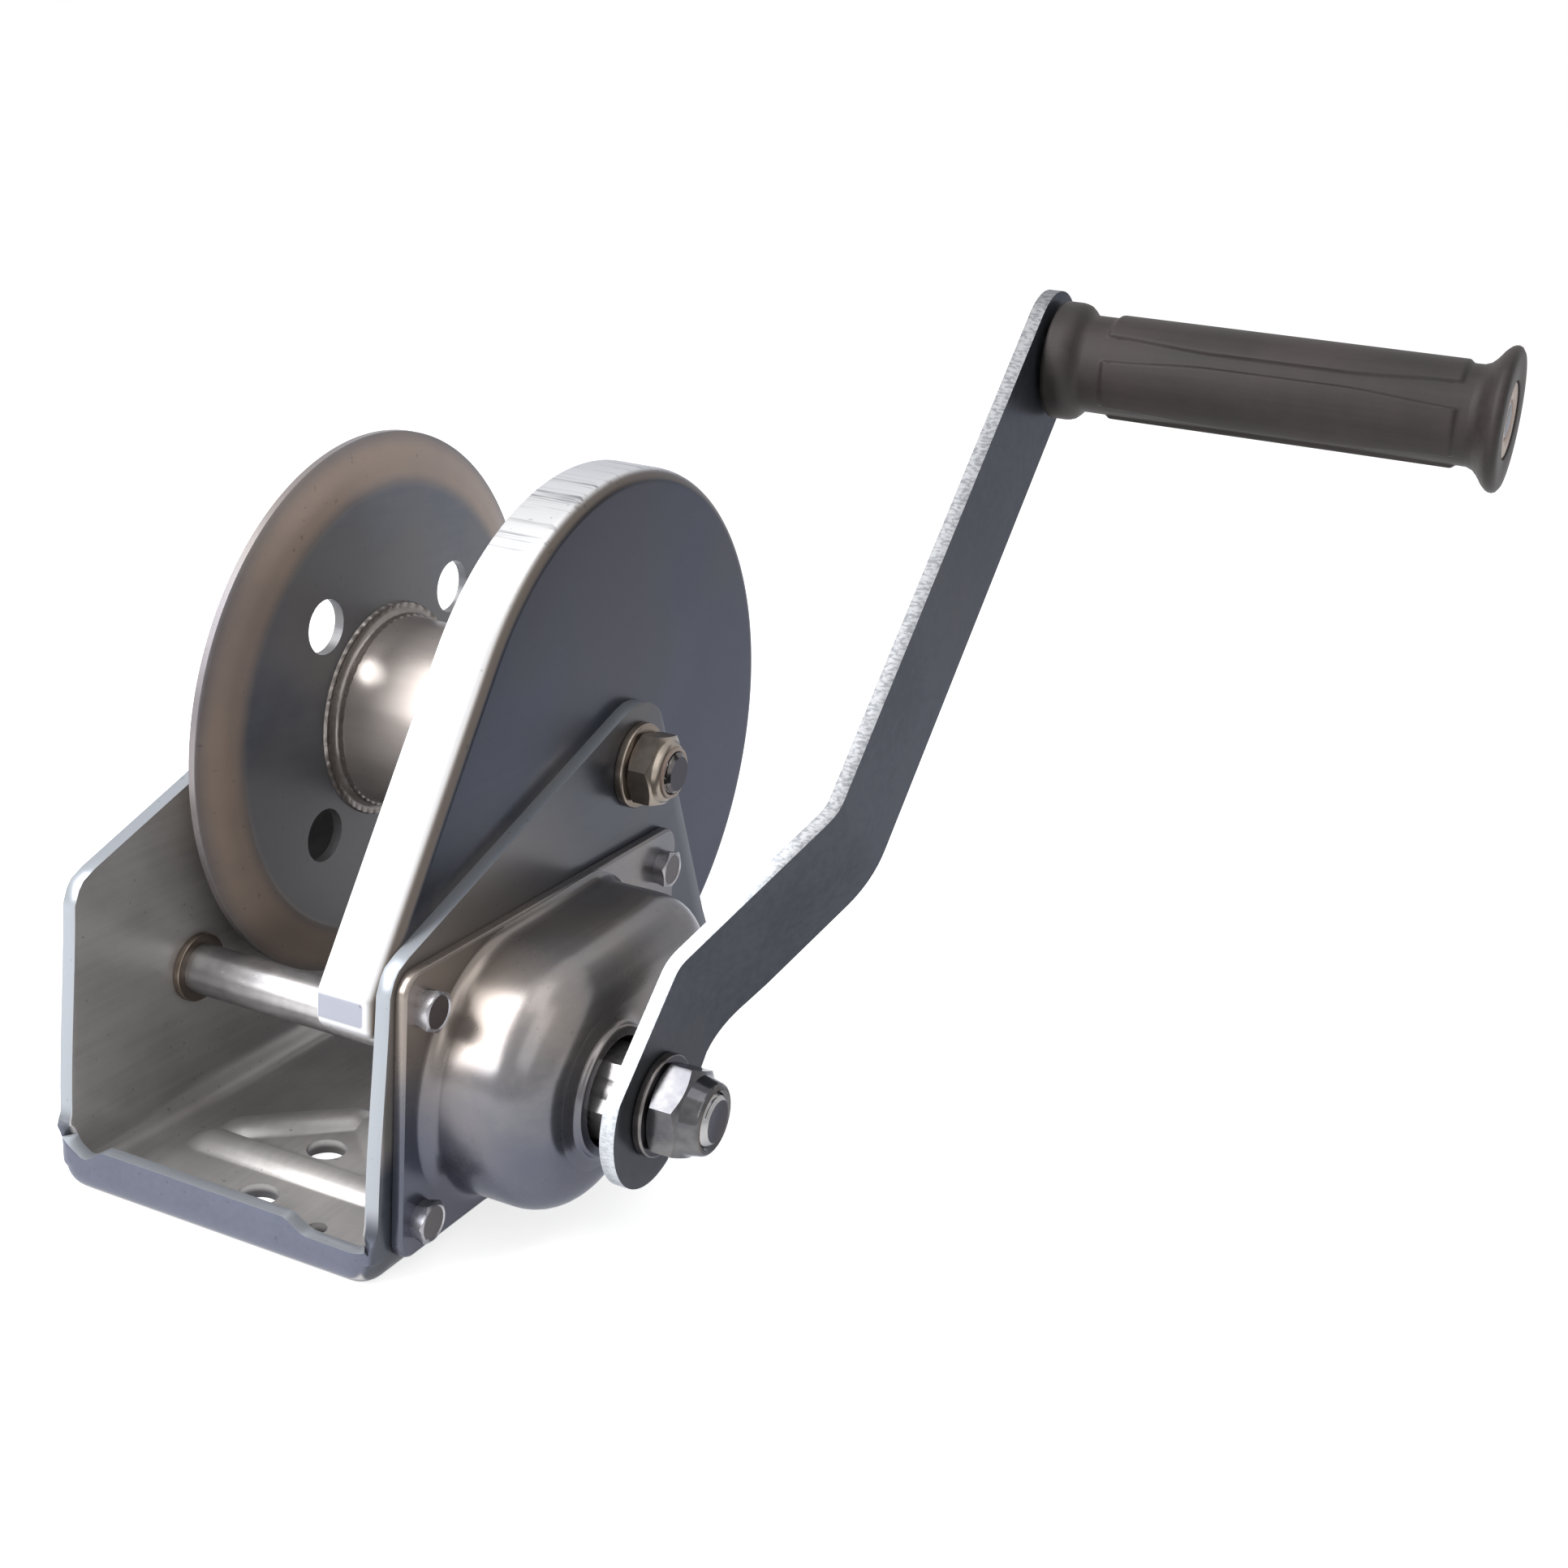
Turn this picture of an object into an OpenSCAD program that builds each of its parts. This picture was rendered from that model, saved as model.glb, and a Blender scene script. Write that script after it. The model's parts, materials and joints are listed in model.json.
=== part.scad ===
// Hand winch with an automatic load brake, in millimetres.
// X runs along the drum axis towards the crank, Y to the back, Z up.
// The origin is on the underside of the base, midway between the walls, below the drum axis.

/* [Frame] */
// Width over the outer faces of the two walls
frame_w = 100; // [90:1:130]
// Thickness of the frame sheet
frame_t = 4; // [3:0.5:5]
// Distance from the drum axis forward to the face of the front lip
frame_front = 120.5; // [119.5:0.5:130]
// Distance from the drum axis forward to the front edges of the walls above the lip
wall_front = 117.2; // [115.2:0.5:119.2]
// How far the front edge leans back at the top corner
front_lean = 4; // [0:0.5:8]
// Distance from the drum axis to the rear edge
frame_rear = 51; // [48:1:60]
// Height of the upper front corner of the walls
wall_front_h = 86; // [83:1:90]
// Height of the rear corner of the walls
wall_rear_h = 46; // [40:1:60]
// Radius of the walls round the drum bolt
wall_apex_r = 17.5; // [15:0.5:22]
// Radius of the wall corners
wall_corner_r = 8; // [5:0.5:10]
// Outside radius of the bends between the floor and the walls
bend_r = 12; // [9:0.5:14]
// Outside radius of the bend between the floor and the front lip
lip_bend_r = 6; // [5.5:0.5:8]
// Radius of the two upright front corners
front_corner_r = 5; // [3:0.5:6]
// Height of the upturned front lip
lip_h = 15; // [14:0.5:17]
// Height of the lip where it is trimmed low beside the walls
lip_low = 11.5; // [10:0.5:13]
// Diameter of the mounting holes in the floor
mount_hole_d = 11; // [9:0.5:13]
// Distance from the drum axis forward to the middle of the two front holes
front_hole_y = 85.5; // [80:0.5:88]
// Spacing of the two front holes, front to back
front_hole_pitch = 29; // [26:0.5:32]
// Distance from the drum axis back to the two rear holes
rear_hole_y = 28; // [20:1:34]
// Spacing of the two rear holes, side to side
rear_hole_pitch = 50; // [40:1:60]
// Diameter of the small hole in the front corner
corner_hole_d = 5.5; // [4:0.5:7]
// Height of the pressed ribs in the floor
rib_h = 3; // [2:0.5:4]
// Radius of the top of the pressed ribs
rib_r = 7; // [6:0.5:8]

/* [Drum] */
// Height of the drum axis
drum_z = 106; // [105:0.5:112]
// Outside diameter of the barrel
barrel_d = 55; // [48:1:62]
// Wall of the barrel tube
barrel_wall = 3.5; // [2.5:0.5:5]
// Diameter of the loose flange over its rim
flange_d = 158.8; // [150:0.4:160]
// Thickness of the flange sheet
flange_t = 3; // [2:0.5:4]
// Gap from the left wall to the flat of the flange
flange_gap = 11.2; // [10:0.2:14]
// Diameter where the flange starts to flare
flare_d = 128; // [120:1:136]
// How far the rim of the flange flares out
flare = 4.7; // [2:0.1:6]
// Number of holes in the flange
flange_holes = 4; // [2:1:6]
// Diameter of the flange holes
flange_hole_d = 15.5; // [10:0.5:17]
// Pitch circle diameter of the flange holes
flange_hole_pcd = 86; // [84:1:96]
// Leg of the weld beads at the ends of the barrel
weld_leg = 5; // [3:0.5:6]

/* [Gears] */
// Module of the gear teeth
gear_module = 3; // [2.9:0.05:3.1]
// Teeth on the drum gear
gear_teeth = 49; // [48:1:50]
// Teeth on the pinion
pinion_teeth = 12; // [12:1:13]
// Profile shift of the pinion, taken off the gear
profile_shift = 0.3; // [0.3:0.02:0.4]
// Play between meshed teeth, measured round the pitch circle
backlash = 0.3; // [0.2:0.05:0.6]
// Width of the drum gear
gear_w = 9; // [8:0.5:10]
// Gap from the gear to the cover plate
gear_gap = 4; // [3:0.5:5]

/* [Gear cover] */
// Thickness of the cover sheet
cover_t = 2; // [1.5:0.5:2.5]
// Depth of the cover from the right wall
cover_depth = 16.5; // [15:0.5:19]
// Room between the gear teeth and the rim of the cover
cover_room = 3.3; // [3:0.1:5]
// Radius of the pressed edge of the cover
cover_edge_r = 4; // [3:0.5:5]

/* [Drum bolt] */
// Diameter of the bolt that carries the drum
bolt_d = 12; // [10:1:14]
// Outside diameter of the sleeve that the drum turns on
sleeve_d = 18; // [17:0.5:20]
// Wall of the bronze bushes
bush_wall = 3; // [2:0.5:4]
// Length of the bolt outside the right wall
bolt_out = 13.5; // [13:0.5:18]

/* [Drive shaft] */
// Height of the crank axis
crank_z = 45.5; // [44:0.5:48]
// Diameter of the shaft where it shows between the walls
shaft_d = 14; // [12:0.5:15]
// Diameter of the shaft at the pinion and the brake
brake_shaft_d = 16; // [15.5:0.5:18]
// Diameter of the threaded end under the crank nut
stud_d = 14; // [12:0.5:15]
// Diameter of the flanges of the shaft bushes
bush_flange_d = 23.5; // [23:0.5:26]
// Distance from the right wall to the tip of the shaft
shaft_out = 65.7; // [65.2:0.5:70]

/* [Load brake] */
// Diameter of the clamping flanges and friction discs
brake_d = 42; // [38:0.5:43]
// Thickness of each friction disc
disc_t = 2.5; // [2:0.5:3]
// Thickness of the ratchet wheel
ratchet_t = 7; // [6:0.5:8]
// Teeth on the ratchet wheel
ratchet_teeth = 12; // [12:1:12]
// Diameter over the ratchet teeth
ratchet_d = 54; // [52:0.5:54.5]
// Depth of the ratchet teeth
tooth_depth = 4; // [3.5:0.25:4]
// Diameter of the pin that carries the pawl
pawl_pin_d = 7; // [6:0.5:8]

/* [Brake cover] */
// Thickness of the brake cover sheet
dome_t = 3; // [2:0.5:3]
// Outside radius of the dome round the crank axis
dome_r = 34.5; // [34:0.5:36]
// Outside radius of the lobe over the pawl
lobe_r = 20; // [19:0.5:22]
// Distance from the crank axis back to the middle of the lobe
lobe_y = 41.6; // [40:0.2:43]
// Height of the middle of the lobe above the crank axis
lobe_z = 16; // [15:0.5:17]
// Distance from the right wall to the face of the dome
dome_h = 34; // [33:0.5:35]
// Radius of the shoulder of the dome
shoulder_r = 14; // [10:1:14]
// Outside radius of the collar round the crank hub
collar_r = 17.5; // [17:0.5:19]
// Spacing of the cover screws, front to back
screw_pitch_y = 116; // [114:1:118]
// Spacing of the cover screws, up and down
screw_pitch_z = 57; // [55:1:59]
// Diameter of the cover screws
screw_d = 6; // [5:0.5:6]

/* [Crank] */
// Distance from the crank axis to the grip axis
crank_len = 242; // [200:1:280]
// Angle of the crank above the horizontal, as drawn
crank_angle = 45; // [0:1:90]
// Width of the crank arm
arm_w = 38; // [36:1:42]
// Thickness of the crank arm
arm_t = 4; // [3.5:0.5:5]
// Distance from the right wall to the outer face of the arm at its hub
arm_out = 48.6; // [48:0.2:50]
// Sideways step of the arm
arm_step = 24; // [15:1:30]
// Distance from the crank axis to the first bend
bend_start = 30; // [28:1:40]
// Length of the sloping part of the arm
bend_run = 50; // [45:1:60]
// Radius of the bends at the middle of the bar
arm_bend_r = 20; // [10:1:24]
// Width across the flats of the crank hub
hub_af = 22; // [21:0.5:24]

/* [Grip] */
// Length of the grip
grip_len = 126; // [110:1:140]
// Diameter over the raised panels of the grip
grip_d = 29; // [28:0.5:32]
// Diameter of the inner flange of the grip
grip_inner_d = 33; // [32:0.5:36]
// Diameter of the end flange of the grip
grip_end_d = 39; // [36:0.5:42]
// Number of grooves along the grip
grip_grooves = 4; // [3:1:6]
// Depth of the grooves along the grip
groove_depth = 0.8; // [0.4:0.1:1.2]
// Diameter of the steel spindle in the grip
spindle_d = 12; // [10:0.5:13]

/* [Clearances] */
// Radial clearance of a turning fit
running = 0.05; // [0.03:0.01:0.08]
// Gap between parts that move past each other
side_gap = 0.3; // [0.2:0.05:0.4]
// Radial clearance of a bolt in its hole
bolt_slack = 0.3; // [0.2:0.05:0.5]

/* [Hidden] */
$fn = 64;
eps = 0.01;

zinc = [0.62, 0.64, 0.67];
bright_zinc = [0.74, 0.75, 0.77];
steel = [0.5, 0.5, 0.52];
bronze = [0.62, 0.46, 0.24];
lining = [0.24, 0.21, 0.19];
rubber = [0.2, 0.18, 0.18];
nylon = [0.86, 0.86, 0.82];

// Faces of the two walls along X
wall_out = frame_w / 2;
wall_in = wall_out - frame_t;

// Centre distance of the gears, and the crank axis that follows from it
centre_dist = gear_module * (gear_teeth + pinion_teeth) / 2;
crank_y = -sqrt(pow(centre_dist, 2) - pow(drum_z - crank_z, 2));
mesh_angle = atan2(crank_z - drum_z, crank_y);
gear_tip_r = gear_module * (gear_teeth / 2 + 1 - profile_shift);
pinion_tip_r = gear_module * (pinion_teeth / 2 + 1 + profile_shift);

// Gear and drum places along X
gear_x1 = wall_in - cover_t - gear_gap;
gear_x0 = gear_x1 - gear_w;
flange_x0 = -wall_in + flange_gap;
flange_x1 = flange_x0 + flange_t;
drum_bush_r = sleeve_d / 2 + bush_wall;
drum_bush_rim = 3;

// Outline of the gear cover: drum and two front corners
cover_r = gear_tip_r + cover_room + cover_t;
cover_corner_r = cover_edge_r + 1;
cover_front = wall_front - front_lean * 0.6;
cover_corner_z = [77, 64.5];
cover_outline = [[0, drum_z, cover_r],
    [-cover_front + cover_corner_r, cover_corner_z[0] - 3, cover_corner_r],
    [-cover_front + cover_corner_r, cover_corner_z[1] + cover_corner_r, cover_corner_r]];

// Brake cover screws and outline
screw_y = [-screw_pitch_y + 12.5, 12.5];
screw_z = [15.5, 15.5 + screw_pitch_z];
screw_inset = 8.5;
head_af = 10;
head_h = 4;
dome_top = wall_out + dome_h;
collar_h = 3;
collar_wall = 3;

// Brake stack along X
bush_rim_t = 2;
bush_body_r = brake_shaft_d / 2 + 2.5;
brake_x0 = wall_out + bush_rim_t + side_gap;
brake_flange_t = 5;
disc_x0 = brake_x0 + brake_flange_t;
ratchet_x0 = disc_x0 + disc_t + side_gap;
disc_x1 = ratchet_x0 + ratchet_t + side_gap;
hub_x0 = disc_x1 + disc_t + side_gap;
hub_flange_t = 4.5;
brake_boss_r = brake_shaft_d / 2 + 2.2;

// Pawl: its pin, and its nose in a valley of the ratchet
pawl_at = [lobe_y + 2.4, lobe_z + 6];
nose_angle = -20;
nose_r = 2;
nose_at_r = ratchet_d / 2 - tooth_depth + nose_r + side_gap;
nose_at = polar(nose_at_r, nose_angle);
valley_angle = nose_angle - asin((nose_r + side_gap) / nose_at_r);
pawl_boss_r = pawl_pin_d / 2 + 2.5;
pawl_x0 = ratchet_x0 + 0.5;
pawl_t = ratchet_t - 1;

// Crank places along X
arm_x1 = wall_out + arm_out;
arm_x0 = arm_x1 - arm_t;
arm_far = arm_x1 + arm_step;
washer_t = 2.4;
tenon_r = stud_d / 2 + 2.4;
tenon_flat = stud_d / 2 + 0.8;
stud_x0 = arm_x0 - 4;

// Grip places along X
grip_x0 = arm_far + side_gap + 1.2;
grip_x1 = grip_x0 + grip_len;
grip_recess_r = spindle_d / 2 + 4.5;
grip_recess = 3;
grip_y = crank_len * cos(crank_angle);
grip_z = crank_len * sin(crank_angle);

function polar(r, a) = r * [cos(a), sin(a)];

// Outline of the convex belt round a list of circles [y, z, r], given anticlockwise
function belt_pair(a, b) =
    let (dy = b[0] - a[0], dz = b[1] - a[1],
        n = atan2(dz, dy) - acos((a[2] - b[2]) / norm([dy, dz])))
    [[a[0] + a[2] * cos(n), a[1] + a[2] * sin(n)], [b[0] + b[2] * cos(n), b[1] + b[2] * sin(n)]];
function belt_points(c) =
    [for (i = [0 : len(c) - 1]) each belt_pair(c[i], c[(i + 1) % len(c)])];
function inset(c, d) = [for (k = c) [k[0], k[1], k[2] - d]];
function shifted(c, at) = [for (k = c) [k[0] + at[0], k[1] + at[1], k[2]]];

// The belt as a flat shape with true arcs
module belt(c) {
    polygon(belt_points(c));
    for (k = c)
        translate([k[0], k[1]]) circle(r = k[2]);
}

// Turns a flat shape drawn in Y and Z into a plate from x0 to x1
module plate(x0, x1) {
    translate([x0, 0, 0]) rotate([90, 0, 90]) linear_extrude(x1 - x0) children();
}

// A round bar along X, between x0 and x1
module bar(x0, x1, r, y = 0, z = 0) {
    translate([x0, y, z]) rotate([0, 90, 0]) cylinder(h = x1 - x0, r = r);
}

// A shape turned about X, from a profile of [x, r] points
module turned(points) {
    rotate([0, 90, 0]) rotate([0, 0, 90]) rotate_extrude() polygon([for (p = points) [p[1], p[0]]]);
}

// A hexagon bar along X, measured across its flats
module hex_bar(x0, x1, af) {
    translate([x0, 0, 0]) rotate([0, 90, 0]) rotate([0, 0, 30])
        cylinder(h = x1 - x0, r = af / 2 / cos(30), $fn = 6);
}

// A hexagon with a round face left standing at its ends, as high as the chamfers there
chamfer = 0.6;
module hex_head(x0, x1, af, ends) {
    hex_bar(x0 + ends[0], x1 - ends[1], af);
    bar(x0, x1, af / 2 - 0.2);
}

module at_drum() { translate([0, 0, drum_z]) children(); }
module at_crank() { translate([0, crank_y, crank_z]) children(); }
module at_grip() { at_crank() translate([0, grip_y, grip_z]) children(); }

// Involute gear outline, with a tooth centred on the local Y axis of the plate
function involute(a) = tan(a) * 180 / PI - a;
function tooth_half(r, base_r, pitch_r, half) =
    half + involute(20) - involute(acos(min(1, base_r / max(r, base_r))));
function flank(teeth, shift) =
    let (pitch_r = gear_module * teeth / 2, base_r = pitch_r * cos(20),
        root_r = pitch_r + gear_module * (shift - 1.25), tip_r = pitch_r + gear_module * (shift + 1),
        arc = gear_module * (PI / 2 + 2 * shift * tan(20)) - backlash / 2,
        half = arc / pitch_r * 90 / PI, low_r = max(base_r, root_r))
    concat([[root_r, tooth_half(low_r, base_r, pitch_r, half)]],
        [for (i = [0 : 4]) let (r = low_r + (tip_r - low_r) * i / 4)
            [r, tooth_half(r, base_r, pitch_r, half)]]);
module gear_outline(teeth, shift, phase) {
    side = flank(teeth, shift);
    last = len(side) - 1;
    polygon([for (t = [0 : teeth - 1]) let (a = phase + t * 360 / teeth)
        each concat(
            [for (i = [0 : last]) polar(side[i][0], a - side[i][1])],
            [for (i = [last : -1 : 0]) polar(side[i][0], a + side[i][1])])]);
}

// Folded frame
wall_outline = [[0, drum_z, wall_apex_r],
    [-wall_front + front_lean + wall_corner_r, wall_front_h - wall_corner_r, wall_corner_r],
    [-wall_front + 1, 1, 1],
    [frame_rear - 1, 1, 1],
    [frame_rear - wall_corner_r, wall_rear_h - wall_corner_r, wall_corner_r]];

// Side view of a wall: it runs out to the lip at its front foot
module wall_side() {
    foot_top = lip_h + 6;
    belt(wall_outline);
    polygon([[-frame_front, 0], [0, 0], [0, foot_top], [-wall_front, foot_top], [-frame_front, lip_h]]);
}

// The frame from above, with its front corners rounded
module plan_view() {
    r = front_corner_r;
    depth = frame_front + frame_rear;
    translate([-wall_out, -frame_front + r]) square([frame_w, depth - r]);
    translate([-wall_out + r, -frame_front]) square([frame_w - 2 * r, 2 * r]);
    for (s = [-1, 1])
        translate([s * (wall_out - r), -frame_front + r]) circle(r = r);
}

module u_section(w, r, low, high) {
    translate([-w / 2, low + r]) square([w, high - low - r]);
    translate([-w / 2 + r, low]) square([w - 2 * r, 2 * r]);
    for (s = [-1, 1])
        translate([s * (w / 2 - r), low + r]) circle(r = r);
}

// The floor strip along Y: it turns up into the front lip
module lip_section() {
    r = lip_bend_r;
    translate([-frame_front + r, 0]) square([frame_front + frame_rear - r, drum_z * 2]);
    translate([-frame_front, r]) square([2 * r, drum_z * 2]);
    translate([-frame_front + r, r]) circle(r = r);
}

module floor_hollow() {
    r = lip_bend_r - frame_t;
    front = -frame_front + frame_t;
    translate([front + r, frame_t]) square([frame_front + frame_rear, drum_z * 2]);
    translate([front, frame_t + r]) square([2 * r, drum_z * 2]);
    translate([front + r, frame_t + r]) circle(r = r);
}

// One pressed rib: raised bar above the floor, or the groove below it
module rib_bar(a, b, r) {
    drop = frame_t + rib_h - rib_r;
    len = norm(b - a);
    translate([a[0], a[1], drop]) rotate([0, 0, atan2(b[1] - a[1], b[0] - a[0])]) rotate([0, 90, 0]) {
        cylinder(h = len, r = r);
        sphere(r = r);
        translate([0, 0, len]) sphere(r = r);
    }
}
module ribs(r) {
    rib_y = 1.5 - front_hole_y;
    rib_bar([-28, rib_y], [26, rib_y], r);
    for (s = [-1, 1])
        rib_bar([s * 26, rib_y + 10], [s * 4, rib_y + 31], r);
}

module frame() {
    lip_end = wall_in - 16;
    depth = frame_front + frame_rear;
    color(zinc) difference() {
        union() {
            intersection() {
                difference() {
                    translate([0, frame_rear, 0]) rotate([90, 0, 0])
                        linear_extrude(depth) u_section(frame_w, bend_r, 0, drum_z * 2);
                    translate([0, frame_rear + 1, 0]) rotate([90, 0, 0])
                        linear_extrude(depth + 2)
                            u_section(2 * wall_in, bend_r - frame_t, frame_t, drum_z * 2 + 1);
                }
                plate(-wall_out, wall_out) wall_side();
                plate(-wall_out, wall_out) lip_section();
                linear_extrude(drum_z * 2) plan_view();
            }
            // front lip
            intersection() {
                translate([0, frame_rear, 0]) rotate([90, 0, 0])
                    linear_extrude(depth) u_section(frame_w, bend_r, 0, drum_z);
                linear_extrude(drum_z) plan_view();
                plate(-wall_out, wall_out) difference() {
                    lip_section();
                    floor_hollow();
                }
                translate([-wall_out, -frame_front, 0]) cube([frame_w, 2 * frame_t, lip_h]);
            }
            intersection() {
                ribs(rib_r);
                translate([-wall_in, -frame_front + frame_t, 0])
                    cube([2 * wall_in, frame_front, frame_t + rib_h + 1]);
            }
        }
        intersection() {
            ribs(rib_r - frame_t);
            translate([-wall_in, -frame_front, -1]) cube([2 * wall_in, frame_front, frame_t + rib_h]);
        }
        // the lip is trimmed low beside the right wall and notched beside the left one
        translate([0, -frame_front - 1, 0]) rotate([90, 0, 0]) translate([0, 0, -2 * frame_t - 1])
            linear_extrude(2 * frame_t) {
                polygon([[lip_end - 7.7, lip_h + 1], [lip_end, lip_low], [wall_in, lip_low],
                    [wall_in, lip_h + 1]]);
                polygon([[-wall_in, lip_h + 1], [-wall_in, lip_h - 1.5], [-wall_in + 6.5, lip_low],
                    [-wall_in + 14, lip_h + 1]]);
            }
        // mounting holes
        for (s = [-1, 1]) {
            translate([0, -front_hole_y + s * front_hole_pitch / 2, -1])
                cylinder(h = frame_t + 2, d = mount_hole_d);
            translate([s * rear_hole_pitch / 2, rear_hole_y, -1])
                cylinder(h = frame_t + 2, d = mount_hole_d);
        }
        translate([lip_end - 7.2, -frame_front + 15.1, -1]) cylinder(h = frame_t + 2, d = corner_hole_d);
        // drum bolt, shaft bushes, pawl pin and cover screws
        at_drum() bar(-wall_out - 1, wall_out + 1, bolt_d / 2 + bolt_slack);
        at_crank() bar(-wall_out - 1, -wall_in + 1, bush_body_r);
        at_crank() bar(wall_in - 1, wall_out + 1, bush_body_r);
        at_crank() bar(wall_in - 1, wall_out + 1, pawl_pin_d / 2, pawl_at[0], pawl_at[1]);
        for (y = screw_y, z = screw_z)
            bar(wall_in - 1, wall_out + 1, screw_d / 2, y, z);
    }
}

// Pan with a rounded edge: the hull of bars on the circles of one outline
module pan(outline, x0, x1, r, steps = 5) {
    hull() for (k = outline) {
        bar(x0, x1 - r, k[2], k[0], k[1]);
        for (i = [1 : steps]) let (a = 90 * i / steps)
            bar(x1 - r, x1 - r + r * sin(a), k[2] - r * (1 - cos(a)), k[0], k[1]);
    }
}

// Gear cover: a pan over the drum gear, its rim cut away where the pinion stands out of it
module gear_cover() {
    x0 = wall_in - cover_depth;
    pinion_room = pinion_tip_r + 1.5;
    color(bright_zinc) difference() {
        pan(cover_outline, x0, wall_in, cover_edge_r, $fn = 96);
        pan(inset(cover_outline, cover_t), x0 - 1, wall_in - cover_t, cover_edge_r - cover_t, 3, $fn = 96);
        at_drum() bar(wall_in - cover_t - 1, wall_in + 1, bolt_d / 2 + bolt_slack);
        at_crank() bar(x0 - 1, wall_in - cover_t, pinion_room);
        at_crank() bar(wall_in - cover_t - 1, wall_in + 1, bush_body_r + bolt_slack);
        for (y = screw_y, z = screw_z)
            bar(wall_in - cover_t - 1, wall_in + 1, screw_d / 2 + bolt_slack, y, z);
    }
}

// Sloping foot round an outline, from one width over it to another
module foot(outline, x0, x1, over0, over1) {
    hull() for (k = outline)
        translate([x0, k[0], k[1]]) rotate([0, 90, 0])
            cylinder(h = x1 - x0, r1 = k[2] + over0, r2 = k[2] + over1);
}

// Brake cover: flange plate, domed bulge with a lobe, raised collar
module brake_cover() {
    bulge = shifted([[0, 0, dome_r], [lobe_y, lobe_z, lobe_r]], [crank_y, crank_z]);
    edge = screw_inset;
    flange_outline = [for (k = [[1, 1], [0, 1], [0, 0], [1, 0]]) [screw_y[k[0]], screw_z[k[1]], edge]];
    open_r = collar_r - collar_wall;
    color(zinc) difference() {
        union() {
            plate(wall_out, wall_out + dome_t) {
                belt(flange_outline);
                belt(bulge);
            }
            pan(bulge, wall_out, dome_top, shoulder_r);
            foot(bulge, wall_out + dome_t, wall_out + dome_t + 1, 2.4, 0.8);
            foot(bulge, wall_out + dome_t + 1, wall_out + dome_t + 3.5, 0.8, 0);
            at_crank() turned([[dome_top - dome_t, 0], [dome_top - dome_t, collar_r + 1.5],
                [dome_top, collar_r + 1.5], [dome_top + 0.8, collar_r + 0.3],
                [dome_top + collar_h - 1.2, collar_r], [dome_top + collar_h - 0.3, collar_r - 0.5],
                [dome_top + collar_h, collar_r - 1.3], [dome_top + collar_h, 0]]);
        }
        pan(inset(bulge, dome_t), wall_out - 1, dome_top - dome_t, shoulder_r - dome_t);
        at_crank() bar(dome_top - shoulder_r, dome_top + collar_h + 1, open_r);
        for (y = screw_y, z = screw_z)
            bar(wall_out - 1, wall_out + dome_t + 1, screw_d / 2 + bolt_slack, y, z);
    }
}

module cover_screws() {
    x0 = wall_out + dome_t;
    color(bright_zinc) for (y = screw_y, z = screw_z) translate([0, y, z]) {
        bar(wall_in - cover_t + 0.2, x0 + 1, screw_d / 2);
        hex_head(x0, x0 + head_h, head_af, [0, chamfer]);
    }
}

// Flanged bush: body in the wall and rim on the side that takes the thrust
module shaft_bush(side, bore_r) {
    rim = side < 0 ? [-wall_in, -wall_in + bush_rim_t] : [wall_out, wall_out + bush_rim_t];
    body = side < 0 ? [-wall_out, -wall_in + eps] : [wall_in, wall_out + eps];
    color(bronze) at_crank() difference() {
        union() {
            bar(body[0], body[1], bush_body_r);
            bar(rim[0], rim[1], bush_flange_d / 2);
        }
        bar(-frame_w, frame_w, bore_r + running);
    }
}
module shaft_bush_left() { shaft_bush(-1, shaft_d / 2); }
module shaft_bush_right() { shaft_bush(1, brake_shaft_d / 2); }

// Sizes of the fasteners on the drum bolt and on the shaft end
bolt_af = bolt_d + 7;
bolt_washer_t = 2.4;
bolt_tip = wall_out + bolt_out;
module hex_nut(x0, bore_d, af) {
    hex_h = bore_d * 0.6;
    collar = bore_d * 0.27;
    difference() {
        union() {
            hex_head(x0, x0 + hex_h, af, [chamfer, chamfer]);
            turned([[x0 + hex_h - eps, 0], [x0 + hex_h - eps, af * 0.47],
                [x0 + hex_h + collar - 1.2, af * 0.46], [x0 + hex_h + collar - 0.3, af * 0.42],
                [x0 + hex_h + collar, af * 0.37], [x0 + hex_h + collar, 0]]);
        }
        bar(x0 - 1, x0 + hex_h + collar + 1, bore_d / 2);
        bar(x0 + hex_h + 0.2, x0 + hex_h + collar - 0.6, bore_d / 2 + 1.2);
    }
}
module nut_insert(x0, bore_d) {
    hex_h = bore_d * 0.6;
    collar = bore_d * 0.27;
    difference() {
        bar(x0 + hex_h + 0.2, x0 + hex_h + collar - 0.6, bore_d / 2 + 1.2);
        bar(x0, x0 + 2 * hex_h, bore_d / 2);
    }
}
module washer(x0, x1, r, bore_r) {
    difference() {
        bar(x0, x1, r);
        bar(x0 - 1, x1 + 1, bore_r);
    }
}

module drum_bolt() {
    head_x = -wall_out - bolt_washer_t;
    color(bright_zinc) at_drum() {
        turned([[head_x - 1, 0], [head_x - 1, bolt_d / 2], [bolt_tip - 1.2, bolt_d / 2],
            [bolt_tip, bolt_d / 2 - 1.2], [bolt_tip, 0]]);
        hex_head(head_x - bolt_d * 0.62, head_x, bolt_af, [chamfer, 0]);
    }
}
module drum_bolt_washers() {
    color(bright_zinc) at_drum() {
        washer(-wall_out - bolt_washer_t, -wall_out, bolt_d, bolt_d / 2 + bolt_slack);
        washer(wall_out, wall_out + bolt_washer_t, bolt_d, bolt_d / 2 + bolt_slack);
    }
}
module drum_nut() { color(bright_zinc) at_drum() hex_nut(wall_out + bolt_washer_t, bolt_d, bolt_af); }
module drum_nut_insert() { color(nylon) at_drum() nut_insert(wall_out + bolt_washer_t, bolt_d); }
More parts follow.
